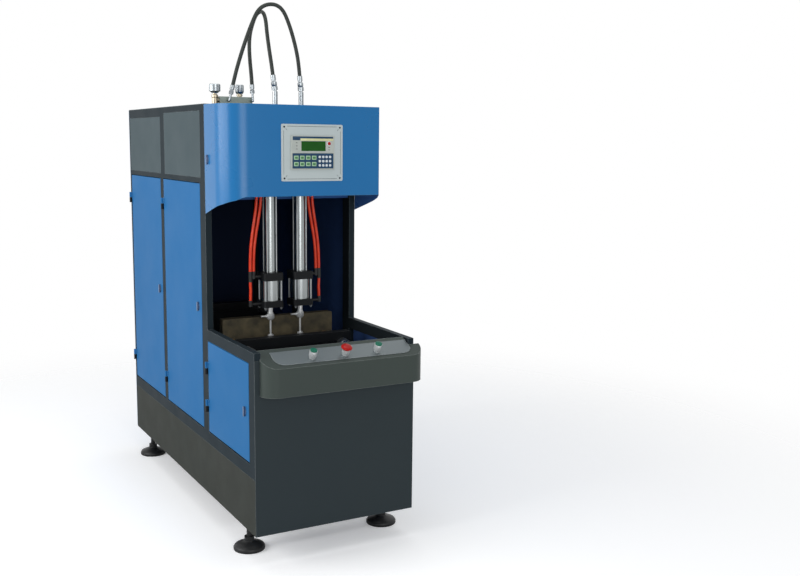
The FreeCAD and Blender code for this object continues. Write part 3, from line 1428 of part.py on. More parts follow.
for rod_word, rod_x in (("left", -axis_x), ("right", axis_x)):
    seal_rod(f"{rod_word}_seal_rod", rod_x)
    stretch_rod(f"{rod_word}_stretch_rod", rod_x)
bar_fit = tie_bar_radius + running_gap
platen("fixed_platen", fixed_platen_y, platen_bottom, fixed_platen_top, bar_fit)
platen("moving_platen", moving_platen_y, platen_bottom + 4, moving_platen_top, bush_radius + running_gap)
platen("tail_plate", tail_y, platen_bottom, fixed_platen_top, bar_fit, clamp_rod_radius + running_gap, mould_holes=False)
for build in (platen_bushes, tie_bars, clamp_cylinder, clamp_rod, levelling_feet, hex_nuts, air_manifold,
              regulator_bodies, port_fittings, valve_blocks, air_tubes, air_hoses):
    build()
for knob_word, knob_x, knob_size in regulator_spots():
    regulator_knob(f"{knob_word}_regulator_knob", knob_x, knob_size)


# ---------------------------------------------------------------- check and hand over

doc.recompute()
for thing in doc.Objects:
    if "Invalid" in thing.State or "Error" in thing.State:
        raise RuntimeError(f"{thing.Name} did not build: {thing.State}")
for thing in nodes:
    if thing.Shape.isNull() or not thing.Shape.isValid():
        raise RuntimeError(f"{thing.Name} has no sound shape")
os.makedirs("parts", exist_ok=True)
for thing in nodes:
    thing.Shape.exportStep(f"parts/{thing.Label}.step")
for thing in nodes:
    print(thing.Label, len(thing.Shape.Solids))
print(f"{len(nodes)} sub-parts written")
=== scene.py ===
# %% [markdown]
# # A blow moulding machine, dressed for its portrait
# The machine's measured solids arrive as a frame: one mesh for each sub-part, in metres, with the floor at
# z = 0, the operator's side at -Y and the doors at -X. This lesson gives every sub-part its finish, lays the
# hoses and tubes as smooth curves, adds the small pieces that are too fine for the solids, and lights it all.
# We start by loading the frame.

# %% Load the frame
import bpy
import bmesh
import json
import math
from mathutils import Matrix, Vector

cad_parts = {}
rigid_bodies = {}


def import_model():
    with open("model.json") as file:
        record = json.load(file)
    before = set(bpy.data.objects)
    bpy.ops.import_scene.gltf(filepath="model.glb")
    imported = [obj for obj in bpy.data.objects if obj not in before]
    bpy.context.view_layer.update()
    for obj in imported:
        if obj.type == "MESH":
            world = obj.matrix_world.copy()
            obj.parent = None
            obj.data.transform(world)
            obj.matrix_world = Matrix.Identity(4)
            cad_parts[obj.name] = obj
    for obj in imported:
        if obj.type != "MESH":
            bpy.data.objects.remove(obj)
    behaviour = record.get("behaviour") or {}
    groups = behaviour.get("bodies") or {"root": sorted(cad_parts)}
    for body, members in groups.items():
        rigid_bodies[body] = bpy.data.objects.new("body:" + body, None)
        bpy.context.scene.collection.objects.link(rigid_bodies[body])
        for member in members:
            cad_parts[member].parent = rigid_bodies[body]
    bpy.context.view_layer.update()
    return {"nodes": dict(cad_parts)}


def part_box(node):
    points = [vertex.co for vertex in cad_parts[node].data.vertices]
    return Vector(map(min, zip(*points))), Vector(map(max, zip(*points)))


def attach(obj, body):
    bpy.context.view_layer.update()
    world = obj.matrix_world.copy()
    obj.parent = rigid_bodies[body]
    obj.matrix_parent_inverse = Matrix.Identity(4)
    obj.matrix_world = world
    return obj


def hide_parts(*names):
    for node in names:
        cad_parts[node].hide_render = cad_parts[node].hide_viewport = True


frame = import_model()
nodes = frame["nodes"]

# %% [markdown]
# ## The camera
# The photograph was taken standing, about four metres away, to the left of the front. A camera in Blender
# looks along its own -Z, so we build its turn from three directions instead of guessing at Euler angles:
# right, up and backwards. The lens length comes from the picture's width and the angle that it takes in. One
# could also drag the camera about until the edges agree, but a fit to the machine's own edges is steadier.

# %% Camera
SENSOR_WIDTH = 36
FOCAL_PIXELS = 997.7
PICTURE_PIXELS = 800


def look_from(place, yaw, pitch, roll):
    """A camera matrix: yaw from +Y towards +X, pitch up from level, roll about the line of sight."""
    yaw, pitch, roll = (math.radians(angle) for angle in (yaw, pitch, roll))
    ahead = Vector((math.sin(yaw) * math.cos(pitch), math.cos(yaw) * math.cos(pitch), math.sin(pitch)))
    level = Vector((math.cos(yaw), -math.sin(yaw), 0))
    above = level.cross(ahead)
    right = level * math.cos(roll) + above * math.sin(roll)
    up = above * math.cos(roll) - level * math.sin(roll)
    turn = Matrix((right, up, -ahead)).transposed().to_4x4()
    return Matrix.Translation(place) @ turn


camera = bpy.data.objects.new("camera", bpy.data.cameras.new("camera"))
camera.data.sensor_width = SENSOR_WIDTH
camera.data.lens = FOCAL_PIXELS / PICTURE_PIXELS * SENSOR_WIDTH
camera.matrix_world = look_from((-1.5688, -4.0331, 1.5349), yaw=29.4, pitch=-8.3, roll=0.6)
bpy.context.scene.collection.objects.link(camera)
bpy.context.scene.camera = camera
print("lens", round(camera.data.lens, 1), "mm")

# %% [markdown]
# ## Hoses and tubes
# A hose is a fixed length of something springy: it leaves its fitting straight and then bends in one smooth
# line. A NURBS spline does just that. Its control points pull the line without being on it, so a few points
# give an even bend; a chain of straight tubes would show its joints, and a Bezier line would want a pair of
# handles at every point. The points are written as steps from the fitting at each end, in millimetres, the
# way the hose was measured, and the two halves meet at the top of the arch.

# %% Routes of the air hoses
def route_from(start, steps, end, steps_back):
    """Joins the steps from one fitting to the steps back from the other."""
    first = [tuple(a + b / 1000 for a, b in zip(start, step)) for step in steps]
    last = [tuple(a + b / 1000 for a, b in zip(end, step)) for step in steps_back]
    return first + last


LEFT_ELBOW = (-0.204727, -0.273, 1.747247)
RIGHT_ELBOW = (-0.125797, -0.273, 1.752914)
LEFT_STUB = (-0.063768, -0.337, 1.789387)
RIGHT_STUB = (0.049509, -0.337, 1.789760)
WIDE_ARCH = route_from(
    LEFT_ELBOW, [(0, 0, 0), (11, 0, 44), (28, -6, 105), (49, -12, 170), (72, -18, 233), (96, -24, 288),
                 (126, -32, 311), (163, -41, 314)],
    RIGHT_STUB, [(-62, 15, 251), (-40, 10, 199), (-23, 6, 143), (-11, 2, 90), (-4, 0, 44), (0, 0, 0)])
NARROW_LOOP = route_from(
    RIGHT_ELBOW, [(0, 0, 0), (-2, 0, 35), (-3, 12, 93), (3, 34, 149), (14, 55, 195), (29, 67, 236),
                  (38, 44, 278), (45, -3, 285), (44, -39, 253)],
    LEFT_STUB, [(-17, 14, 156), (-13, 4, 97), (-5, 0, 38), (0, 0, 0)])
print("route points", len(WIDE_ARCH), len(NARROW_LOOP))

# %% [markdown]
# Two settings come after the points are in: the order, and the end points that hold the line to its
# fittings. Set earlier, they fall back to straight runs. The round section is the curve's bevel, a metre deep
# and scaled at each point by the hose's radius, which keeps Blender's own box round the curve right too.

# %% Lay the hoses
HOSE_DIAMETER = 0.015


def curve_piece(name, route, diameter, body):
    """One curve object with one open NURBS spline, ridden by a body."""
    curve = bpy.data.curves.new(name, "CURVE")
    curve.dimensions = "3D"
    curve.bevel_depth = 1
    curve.bevel_resolution = 5
    curve.resolution_u = 16
    spline = curve.splines.new("NURBS")
    spline.points.add(len(route) - 1)
    for point, place in zip(spline.points, route):
        point.co = (*place, 1)
        point.radius = diameter / 2
    spline.order_u = 3
    spline.use_endpoint_u = True
    piece = bpy.data.objects.new(name, curve)
    bpy.context.scene.collection.objects.link(piece)
    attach(piece, body)
    return piece


for word, route, length in (("left", WIDE_ARCH, 0.675), ("right", NARROW_LOOP, 0.606)):
    hose = curve_piece(f"{word}_hose", route, HOSE_DIAMETER, "machine")
    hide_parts(f"{word}_air_hose")
    print(word, "hose", length, "m")

# %% [markdown]
# The red air tubes are thinner and stiffer. Two long ones rise from each middle cap and close in on the valve
# block inside the hood; a short link goes down to the lower cap. They are the same kind of curve as the
# hoses. The two cylinders mirror each other, so the routes are written once and their x is turned round.

# %% Red air tubes
TUBE_DIAMETER = 0.012
CYLINDER_Y = -0.295
TUBE_ROUTES = {
    "inner": ([(0.136, 1.018), (0.136, 1.0702), (0.129, 1.14676), (0.10975, 1.24594), (0.101, 1.3138),
               (0.101, 1.366)], 0.351),
    "outer": ([(0.150, 1.018), (0.150, 1.0702), (0.1438, 1.14676), (0.12675, 1.24594), (0.119, 1.3138),
               (0.119, 1.366)], 0.350),
    "link": ([(0.150, 0.976), (0.150, 0.957625), (0.1485, 0.9385), (0.150, 0.919375), (0.150, 0.901)], 0.075)}

for side, sign in (("left", -1), ("right", 1)):
    for word, (route, length) in TUBE_ROUTES.items():
        places = [(x * sign, CYLINDER_Y, z) for x, z in route]
        tube = curve_piece(f"{side}_{word}_tube", places, TUBE_DIAMETER, "machine")
        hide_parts("air_tubes")
print("red tubes", len(TUBE_ROUTES) * 2)

# %% [markdown]
# ## Light and floor
# The world and every material are node trees, and a tree is wired socket by socket. One short helper lays a
# wire, another picks the larger of two numbers, so that the trees below stay easy to read.

# %% Wires
def join(tree, source, target):
    """One wire between two sockets of a node tree."""
    tree.links.new(source, target)


def larger(tree, first, second):
    """The larger of two numbers."""
    choice = tree.nodes.new("ShaderNodeMath")
    choice.operation = "MAXIMUM"
    join(tree, first, choice.inputs[0])
    join(tree, second, choice.inputs[1])
    return choice.outputs[0]


# %% [markdown]
# The background should be plain white without pouring more light on the machine, so the world is split by
# what kind of ray asks: rays from the camera, from gloss and through glass see white, the rest see a grey
# that fills the shadows. A backdrop of white cloth would do it too, but it would throw its own light about.

# %% World
FILL_STRENGTH = 0.53
FILL_TONE = (0.93, 0.96, 1, 1)

world = bpy.data.worlds.new("studio")
bpy.context.scene.world = world
world.use_nodes = True
sky = world.node_tree
sky.nodes.clear()
rays = sky.nodes.new("ShaderNodeLightPath")
seen = larger(sky, rays.outputs["Is Camera Ray"], rays.outputs["Is Glossy Ray"])
seen = larger(sky, seen, rays.outputs["Is Transmission Ray"])
fill = sky.nodes.new("ShaderNodeBackground")
fill.inputs["Color"].default_value = FILL_TONE
fill.inputs["Strength"].default_value = FILL_STRENGTH
white = sky.nodes.new("ShaderNodeBackground")
white.inputs["Color"].default_value = (1, 1, 1, 1)
white.inputs["Strength"].default_value = 1
choice = sky.nodes.new("ShaderNodeMixShader")
join(sky, seen, choice.inputs[0])
join(sky, fill.outputs[0], choice.inputs[1])
join(sky, white.outputs[0], choice.inputs[2])
output = sky.nodes.new("ShaderNodeOutputWorld")
join(sky, choice.outputs[0], output.inputs["Surface"])
print("world nodes", len(sky.nodes))

# %% [markdown]
# The lamps are wide and soft and stand at a plain level, so that a colour comes out about as it is written.
# A large one at the left gives the hood's rolled corner its long soft highlight, one stands beside the camera
# and one hangs overhead. Small lamps would cut hard shadows into the working space. Each is given by its
# place, the point that it faces, its width and height in metres and its watts.

# %% Lamps
def area_lamp(name, place, target, width, height, power):
    """A rectangular lamp that faces a point."""
    lamp = bpy.data.lights.new(name, "AREA")
    lamp.shape = "RECTANGLE"
    lamp.size = width
    lamp.size_y = height
    lamp.energy = power
    holder = bpy.data.objects.new(name, lamp)
    holder.location = place
    holder.rotation_euler = (Vector(target) - Vector(place)).to_track_quat("-Z", "Y").to_euler()
    bpy.context.scene.collection.objects.link(holder)


area_lamp("left_wall", (-3.3, -0.1, 2.0), (-0.3, -0.3, 1.5), 3.0, 1.6, 82)
area_lamp("front_soft", (-0.6, -4.7, 1.5), (0, -0.4, 1.1), 2.0, 1.8, 48)
area_lamp("top_soft", (0.2, -0.4, 4.6), (0, 0, 1), 3.0, 3.0, 45)

# %% [markdown]
# Every material starts the same way: an empty tree, a Principled shader and the object's own coordinates, in
# metres, which the noises and masks further down read. Procedural patterns need no picture files and no
# unwrapping, and they stay in place when a door swings.

# %% An empty finish
def new_finish(name):
    """An empty node material with its coordinates, its shader and its output, ready to be wired."""
    material = bpy.data.materials.new(name)
    material.use_nodes = True
    tree = material.node_tree
    tree.nodes.clear()
    output = tree.nodes.new("ShaderNodeOutputMaterial")
    shader = tree.nodes.new("ShaderNodeBsdfPrincipled")
    join(tree, shader.outputs["BSDF"], output.inputs["Surface"])
    place = tree.nodes.new("ShaderNodeTexCoord")
    return material, tree, shader, place.outputs["Object"]


# %% [markdown]
# The floor is pale and matt, so it catches the machine's soft shadow. A little glow that only the camera sees
# lifts it to white without lighting the machine; a whiter paint alone would stay grey between the lamps.

# %% The floor's paint
FLOOR_TONE = (0.92, 0.92, 0.92, 1)
FLOOR_GLOW = 0.22

floor_paint, tree, shader, place = new_finish("pale_floor")
shader.inputs["Base Color"].default_value = FLOOR_TONE
shader.inputs["Roughness"].default_value = 0.9
shader.inputs["Specular IOR Level"].default_value = 0.1
shader.inputs["Emission Color"].default_value = (1, 1, 1, 1)
rays = tree.nodes.new("ShaderNodeLightPath")
glow = tree.nodes.new("ShaderNodeMath")
glow.operation = "MULTIPLY"
glow.inputs[1].default_value = FLOOR_GLOW
join(tree, rays.outputs["Is Camera Ray"], glow.inputs[0])
join(tree, glow.outputs[0], shader.inputs["Emission Strength"])
print("floor glow", FLOOR_GLOW)

# %% [markdown]
# Further out the paint turns clear, so that the floor melts into the white background and no horizon shows.
# The shader works that out from the distance to the middle, with a smooth step between two radii.

# %% The floor's clear rim
FADE_START = 1.1
FADE_END = 3.6

distance = tree.nodes.new("ShaderNodeVectorMath")
distance.operation = "LENGTH"
join(tree, place, distance.inputs[0])
fade = tree.nodes.new("ShaderNodeMapRange")
fade.interpolation_type = "SMOOTHSTEP"
fade.inputs["From Min"].default_value = FADE_START
fade.inputs["From Max"].default_value = FADE_END
join(tree, distance.outputs["Value"], fade.inputs["Value"])
clear = tree.nodes.new("ShaderNodeBsdfTransparent")
blend = tree.nodes.new("ShaderNodeMixShader")
join(tree, fade.outputs["Result"], blend.inputs[0])
join(tree, shader.outputs["BSDF"], blend.inputs[1])
join(tree, clear.outputs["BSDF"], blend.inputs[2])
join(tree, blend.outputs[0], tree.nodes["Material Output"].inputs["Surface"])
print("floor fades from", FADE_START, "to", FADE_END, "m")

# %% [markdown]
# The floor itself is one flat round face, level with the feet.

# %% The floor's disc
FLOOR_RADIUS = 9

disc = bmesh.new()
bmesh.ops.create_circle(disc, cap_ends=True, segments=96, radius=FLOOR_RADIUS)
mesh = bpy.data.meshes.new("floor")
disc.to_mesh(mesh)
disc.free()
mesh.materials.append(floor_paint)
floor = bpy.data.objects.new("floor", mesh)
bpy.context.scene.collection.objects.link(floor)
print("floor", FLOOR_RADIUS * 2, "m across")

# %% [markdown]
# ## Finishes
# Almost every finish here is the same recipe with other numbers. A slow noise drifts the colour a little, as
# paint and metal do over a whole panel. A finer noise drifts the roughness, so that gloss breaks up. The
# finest one is a bump: the orange peel of powder paint, the grain of rolled steel, the pores of rubber.
# Colours are given as they look on a screen and are turned into the linear numbers that shaders work in.

# %% Screen colours
def screen_colour(red, green, blue):
    """Screen values from 0 to 255 as linear light."""
    linear = []
    for value in (red, green, blue):
        value = value / 255
        linear.append(value / 12.92 if value <= 0.04045 else ((value + 0.055) / 1.055) ** 2.4)
    return (*linear, 1)


print("middle grey as light", round(screen_colour(128, 128, 128)[0], 3))

# %% [markdown]
# Noise is what keeps a wide panel from looking like plastic. We give its size in metres, as a maker would
# measure a blotch, and turn that into the texture's own scale.

# %% Noises
def noise(tree, place, size, detail=3, stretch=(1, 1, 1)):
    """Noise whose blotches are about this many metres across, drawn out along an axis if asked."""
    mapping = tree.nodes.new("ShaderNodeMapping")
    mapping.inputs["Scale"].default_value = stretch
    join(tree, place, mapping.inputs["Vector"])
    texture = tree.nodes.new("ShaderNodeTexNoise")
    texture.inputs["Scale"].default_value = 1 / size
    texture.inputs["Detail"].default_value = detail
    join(tree, mapping.outputs["Vector"], texture.inputs["Vector"])
    return texture.outputs["Fac"]


# %% [markdown]
# Two more helpers: one maps a number from one range to another, and one mixes two colours. With them a finish
# reads as a list of what lies over what.

# %% Ranges and mixes
def spread(tree, source, low, high, start=0.3, end=0.7):
    """Maps a number from one range to another."""
    ramp = tree.nodes.new("ShaderNodeMapRange")
    ramp.inputs["From Min"].default_value = start
    ramp.inputs["From Max"].default_value = end
    ramp.inputs["To Min"].default_value = low
    ramp.inputs["To Max"].default_value = high
    join(tree, source, ramp.inputs["Value"])
    return ramp.outputs["Result"]


def two_tones(tree, amount, first, second):
    """A colour between two, by an amount from 0 to 1. The first may be a wire."""
    mix = tree.nodes.new("ShaderNodeMix")
    mix.data_type = "RGBA"
    if isinstance(first, tuple):
        mix.inputs["A"].default_value = first
    else:
        join(tree, first, mix.inputs["A"])
    mix.inputs["B"].default_value = second
    join(tree, amount, mix.inputs["Factor"])
    return mix.outputs["Result"]


# %% [markdown]
# Three masks tell the recipe where to change a colour. The first finds edges: the Bevel node gives the
# direction that a surface would have if its edges were worn round, and where that differs from the real one
# there is an edge. Its paint is paler there, partly from wear and partly as a painted highlight, the thin
# line of light that an edge catches. Painting edges by hand would need an unwrapped model.

# %% The edge mask
FLAT_LIKENESS = 0.985
EDGE_LIKENESS = 0.9


def dot(tree, first, second):
    """The dot product of two directions."""
    product = tree.nodes.new("ShaderNodeVectorMath")
    product.operation = "DOT_PRODUCT"
    join(tree, first, product.inputs[0])
    join(tree, second, product.inputs[1])
    return product.outputs["Value"]


def edge_mask(tree, width):
    """1 along edges of about this width, 0 on the flat."""
    rounded = tree.nodes.new("ShaderNodeBevel")
    rounded.samples = 4
    rounded.inputs["Radius"].default_value = width
    geometry = tree.nodes.new("ShaderNodeNewGeometry")
    likeness = dot(tree, rounded.outputs["Normal"], geometry.outputs["Normal"])
    return spread(tree, likeness, 0, 1, start=FLAT_LIKENESS, end=EDGE_LIKENESS)


# %% [markdown]
# The second mask finds the inside of the cabinet: a face whose direction points back to the machine's middle
# is an inner one, and those get a tone of their own: painted shade for the dim inside. The third splits a
# paint at a height.

# %% The inside and height masks
FACING_BLUR = 0.01
SPLIT_BLUR = 0.001


def inner_shade_mask(tree, middle):
    """1 on faces that look towards a point in the middle, 0 on the outer ones."""
    coordinates = tree.nodes.new("ShaderNodeTexCoord")
    from_middle = tree.nodes.new("ShaderNodeVectorMath")
    from_middle.operation = "SUBTRACT"
    join(tree, coordinates.outputs["Object"], from_middle.inputs[0])
    from_middle.inputs[1].default_value = middle
    facing = dot(tree, coordinates.outputs["Normal"], from_middle.outputs["Vector"])
    return spread(tree, facing, 0, 1, start=0.0, end=-FACING_BLUR)


def height_mask(tree, height):
    """1 above a height, 0 below it."""
    coordinates = tree.nodes.new("ShaderNodeTexCoord")
    split = tree.nodes.new("ShaderNodeSeparateXYZ")
    join(tree, coordinates.outputs["Object"], split.inputs["Vector"])
    return spread(tree, split.outputs["Z"], 0, 1, start=height - SPLIT_BLUR, end=height + SPLIT_BLUR)


# %% [markdown]
# Now the recipe itself. It lays the colours over each other in order: the slow drift between two tones, edges
# paler from wear and with a painted highlight, the tone above a height, and last the painted shade on inner
# faces. Metals and plastics use the same one.

# %% The finish recipe
# The tone of the painted shade on inner faces, where the cabinet is dim.
INNER_SHADE_TONE = (46, 52, 56)
ROUGH_DRIFT = 0.08


def finish(name, tone, second_tone, rough, metal=0.0, specular=0.3, drift_size=0.3,
           grain=0.0015, grain_depth=0.00002, stretch=(1, 1, 1), worn_highlight=None, worn_highlight_width=0.0012,
           shaded_inside=None, inner_shade_tone=INNER_SHADE_TONE, above=None, upper_tone=None):
    """A finish with drifting colour and roughness, a fine bump, and whichever masks are asked for."""
    material, tree, shader, place = new_finish(name)
    slow = spread(tree, noise(tree, place, drift_size, 4), 0, 1)
    colour = two_tones(tree, slow, screen_colour(*tone), screen_colour(*second_tone))
    # Edges: paler from wear, and a painted highlight where edges catch the light.
    if worn_highlight:
        colour = two_tones(tree, edge_mask(tree, worn_highlight_width), colour, screen_colour(*worn_highlight))
    if above:
        colour = two_tones(tree, height_mask(tree, above), colour, screen_colour(*upper_tone))
    # Inner faces: painted shade.
    if shaded_inside:
        colour = two_tones(tree, inner_shade_mask(tree, shaded_inside), colour, screen_colour(*inner_shade_tone))
    join(tree, colour, shader.inputs["Base Color"])
    shader.inputs["Metallic"].default_value = metal
    shader.inputs["Specular IOR Level"].default_value = specular
    middle = noise(tree, place, drift_size * 0.2, 3, stretch)
    gloss = spread(tree, middle, rough * (1 - ROUGH_DRIFT), rough * (1 + ROUGH_DRIFT))
    join(tree, gloss, shader.inputs["Roughness"])
    bump = tree.nodes.new("ShaderNodeBump")
    bump.inputs["Distance"].default_value = grain_depth
    join(tree, noise(tree, place, grain, 2, stretch), bump.inputs["Height"])
    join(tree, bump.outputs["Normal"], shader.inputs["Normal"])
    return material


# %% [markdown]
# The paints: a glossy blue on the hood, a duller one on the doors, and a dark grey-green on the frame. They
# are powder paints, baked on in one even coat, so their two tones lie close together. The panels of the far
# side are one sub-part in two colours: blue below and, like the near covers, grey above.

# %% Paints
PANEL_BLUE = ((38, 107, 163), (42, 111, 168))
# Inner faces that look towards these middles get painted shade.
HOOD_MIDDLE = (0, -0.1, 1.2)
CABINET_MIDDLE = (0, 0.1, 0.6)
COVER_SILL = 1.385

# The pale edge tones below are partly wear and partly a painted highlight.
hood_paint = finish("hood_paint", (8, 103, 161), (11, 106, 165), 0.29, drift_size=0.6, specular=0.34,
                    worn_highlight=(110, 168, 214), worn_highlight_width=0.0015, shaded_inside=HOOD_MIDDLE, inner_shade_tone=(54, 92, 150))
door_paint = finish("door_paint", (35, 99, 151), (38, 102, 155), 0.5, drift_size=0.8, specular=0.06,
                    worn_highlight=(120, 172, 216))
panel_paint = finish("panel_paint", *PANEL_BLUE, 0.5, drift_size=0.8, specular=0.06,
                     worn_highlight=(120, 172, 216), shaded_inside=CABINET_MIDDLE, inner_shade_tone=(26, 38, 62))
side_paint = finish("side_paint", *PANEL_BLUE, 0.5, drift_size=0.8, specular=0.06,
                    shaded_inside=CABINET_MIDDLE, inner_shade_tone=(44, 66, 108),
                    above=COVER_SILL, upper_tone=(68, 80, 84))
cover_paint = finish("cover_paint", (67, 79, 83), (70, 82, 86), 0.55, drift_size=0.6, specular=0.07,
                     worn_highlight=(150, 160, 162), shaded_inside=CABINET_MIDDLE)
frame_paint = finish("frame_paint", (32, 41, 46), (35, 44, 49), 0.5, drift_size=0.6, specular=0.04,
                     worn_highlight=(156, 165, 169), shaded_inside=CABINET_MIDDLE, inner_shade_tone=(26, 31, 34))
front_paint = finish("front_paint", (38, 47, 51), (41, 50, 53), 0.42, drift_size=0.6, specular=0.16,
                     worn_highlight=(104, 112, 114), shaded_inside=CABINET_MIDDLE)
ledge_paint = finish("ledge_paint", (57, 65, 62), (61, 69, 65), 0.42, drift_size=0.6, specular=0.16,
                     worn_highlight=(156, 162, 160))
plinth_paint = finish("plinth_paint", (53, 56, 52), (56, 58, 54), 0.6, drift_size=0.5, specular=0.05,
                      worn_highlight=(108, 108, 102))
inner_paint = finish("inner_paint", (60, 94, 142), (65, 99, 148), 0.5, specular=0.06)
mount_paint = finish("mount_paint", (50, 88, 146), (56, 94, 152), 0.5, specular=0.06)
black_paint = finish("black_paint", (16, 18, 20), (22, 24, 26), 0.42, specular=0.14, worn_highlight=(80, 82, 84),
                     worn_highlight_width=0.0008)
print("paints", len(bpy.data.materials))

# %% [markdown]
# Metals differ from paint in one number, the metallic one, and in the direction of their grain: rolled plate
# and drawn tube are marked along their length, so their noise is stretched along one axis. Chrome is written
# darker than it looks, because the lamps and the white surroundings shine back from it.

# %% Metal finishes
# The pale edge tones below are partly wear and partly a painted highlight.
satin_sheet = finish("satin_sheet", (102, 110, 112), (110, 117, 119), 0.42, metal=0.8, stretch=(0.03, 1, 1),
                     worn_highlight=(214, 218, 220), worn_highlight_width=0.001)
panel_sheet = finish("panel_sheet", (176, 186, 186), (184, 193, 193), 0.5, metal=0.2, stretch=(0.05, 1, 1),
                     specular=0.2, worn_highlight=(222, 226, 226), worn_highlight_width=0.001)
barrel_alloy = finish("barrel_alloy", (138, 143, 144), (152, 156, 157), 0.24, metal=1, stretch=(1, 1, 0.03),
                      grain_depth=0.00002)
cast_alloy = finish("cast_alloy", (146, 156, 146), (160, 169, 157), 0.5, metal=0.3, drift_size=0.03,
                    worn_highlight=(196, 200, 192), worn_highlight_width=0.0008)
ground_steel = finish("ground_steel", (128, 132, 134), (146, 150, 152), 0.36, metal=1, drift_size=0.05,
                      grain_depth=0.00001)
dull_chrome = finish("dull_chrome", (138, 144, 148), (152, 158, 161), 0.28, metal=1, drift_size=0.03,
                     grain_depth=0.000005)
chrome = finish("chrome", (196, 199, 201), (210, 212, 214), 0.2, metal=1, drift_size=0.05,
                grain_depth=0.000005)
bright_chrome = finish("bright_chrome", (212, 214, 214), (222, 224, 224), 0.3, metal=0.6, drift_size=0.02,
                       grain_depth=0.000005)
brass = finish("brass", (152, 143, 124), (170, 160, 140), 0.34, metal=1, drift_size=0.02, grain_depth=0.00001)
bronze = finish("bronze", (150, 116, 74), (170, 134, 88), 0.36, metal=1, drift_size=0.02)
rusty_plate = finish("rusty_plate", (64, 60, 50), (96, 88, 68), 0.6, metal=0.2, drift_size=0.04, grain=0.004,
                     grain_depth=0.0002, specular=0.15, worn_highlight=(128, 116, 92))
latch_zinc = finish("latch_zinc", (76, 94, 122), (90, 108, 136), 0.3, metal=0.7, drift_size=0.01,
                    worn_highlight=(168, 186, 208), worn_highlight_width=0.0014)
print("paints and metals", len(bpy.data.materials))

# %% [markdown]
# Plastics, rubber and printed films have no metal in them and a finer grain. What differs most is how far
# they shine: the screen is smooth, the films are matt.

# %% Plastic and rubber finishes
# The pale edge tone below is partly wear and partly a painted highlight.
black_plastic = finish("black_plastic", (20, 21, 22), (28, 29, 30), 0.45, drift_size=0.03, grain=0.0008,
                       worn_highlight=(66, 67, 68), worn_highlight_width=0.0008)
hose_rubber = finish("hose_rubber", (38, 43, 40), (54, 59, 55), 0.5, drift_size=0.02, grain=0.001,
                     specular=0.25)
red_tubing = finish("red_tubing", (204, 44, 14), (226, 62, 24), 0.25, drift_size=0.03, specular=0.3)
green_button = finish("green_button", (8, 94, 72), (14, 102, 80), 0.3, drift_size=0.01, specular=0.16)
red_button = finish("red_button", (156, 16, 12), (168, 24, 18), 0.28, drift_size=0.02, specular=0.16)
navy_film = finish("navy_film", (30, 60, 88), (36, 68, 96), 0.4, drift_size=0.04, grain=0.0006, specular=0.2)
beige_bezel = finish("beige_bezel", (172, 178, 172), (182, 187, 180), 0.45, drift_size=0.04, specular=0.2)
screen_glass = finish("screen_glass", (26, 78, 24), (32, 86, 28), 0.2, drift_size=0.03, grain_depth=0.00001,
                      specular=0.1)
key_film = finish("key_film", (150, 186, 150), (164, 198, 162), 0.45, drift_size=0.01, grain=0.0006)
key_centre = finish("key_centre", (66, 118, 74), (78, 130, 84), 0.45, drift_size=0.01, grain=0.0006)
white_film = finish("white_film", (206, 214, 218), (218, 224, 226), 0.45, drift_size=0.01, grain=0.0006)
cream_film = finish("cream_film", (206, 204, 150), (214, 212, 164), 0.45, drift_size=0.02, grain=0.0006)
ink = finish("ink", (44, 48, 50), (58, 62, 64), 0.6, drift_size=0.01, specular=0.1)
print("finishes", len(bpy.data.materials))

# %% [markdown]
# ## Dressing the solids
# The solids may not be moved or changed, but they may wear modifiers. Each solid gets smooth faces and wears
# modifiers: a weld that joins the seams between its faces, and either a small bevel, which real folded and
# milled edges have, or an edge split that keeps its corners crisp. The bevel catches a thin line of light,
# and that says sheet metal.

# %% How a solid is dressed
FOLD_ANGLE = math.radians(40)
CRISP_ANGLE = math.radians(35)
SEAM_GAP = 0.00001


def dress(material, *names, edge=0.0):
    """Gives nodes a finish, and rounded or crisp edges."""
    for name in names:
        node = nodes[name]
        node.data.materials.clear()
        node.data.materials.append(material)
        if node.data.has_custom_normals:
            node.data.attributes.remove(node.data.attributes["custom_normal"])
        node.data.shade_smooth()
        node.modifiers.new("weld", "WELD").merge_threshold = SEAM_GAP
        if edge:
            bevel = node.modifiers.new("soft_edge", "BEVEL")
            bevel.width = edge
            bevel.segments = 2
            bevel.limit_method = "ANGLE"
            bevel.angle_limit = FOLD_ANGLE
            bevel.harden_normals = True
        else:
            split = node.modifiers.new("crisp_edge", "EDGE_SPLIT")
            split.split_angle = CRISP_ANGLE


# %% [markdown]
# First the sheet metal and the castings, from the outside in. The number is the bevel's width in metres.

# %% Dress the sheet metal and castings
dress(hood_paint, "hood", edge=0.0006)
dress(door_paint, "top_plate", "base_door", "tower_door", "rear_door", edge=0.0006)
dress(side_paint, "right_side_panels", edge=0.0006)
dress(panel_paint, "rear_panel", edge=0.0006)
dress(frame_paint, "side_frame_left", "side_frame_right", edge=0.0008)
dress(cover_paint, "upper_covers", "roof_panel", edge=0.0008)
dress(front_paint, "front_panel", edge=0.0008)
dress(ledge_paint, "operator_ledge", edge=0.0008)
dress(plinth_paint, "plinth_channels", edge=0.001)
dress(inner_paint, "cross_members", "bed_rails", edge=0.001)
dress(mount_paint, "head_mount", edge=0.001)
dress(black_paint, "fixed_platen", "tail_plate", "frame_hinges", edge=0.001)
dress(black_paint, "cylinder_caps", edge=0.0008)
dress(rusty_plate, "moving_platen", edge=0.0012)
dress(satin_sheet, "button_plate", edge=0.0005)
dress(cast_alloy, "air_manifold", "valve_blocks", edge=0.0008)
dress(panel_sheet, "control_plate", edge=0.0004)
dress(barrel_alloy, "clamp_cylinder", edge=0.0008)
dress(latch_zinc, "base_door_latch", "tower_door_latch", "rear_door_latch", "hood_latch", edge=0.0008)
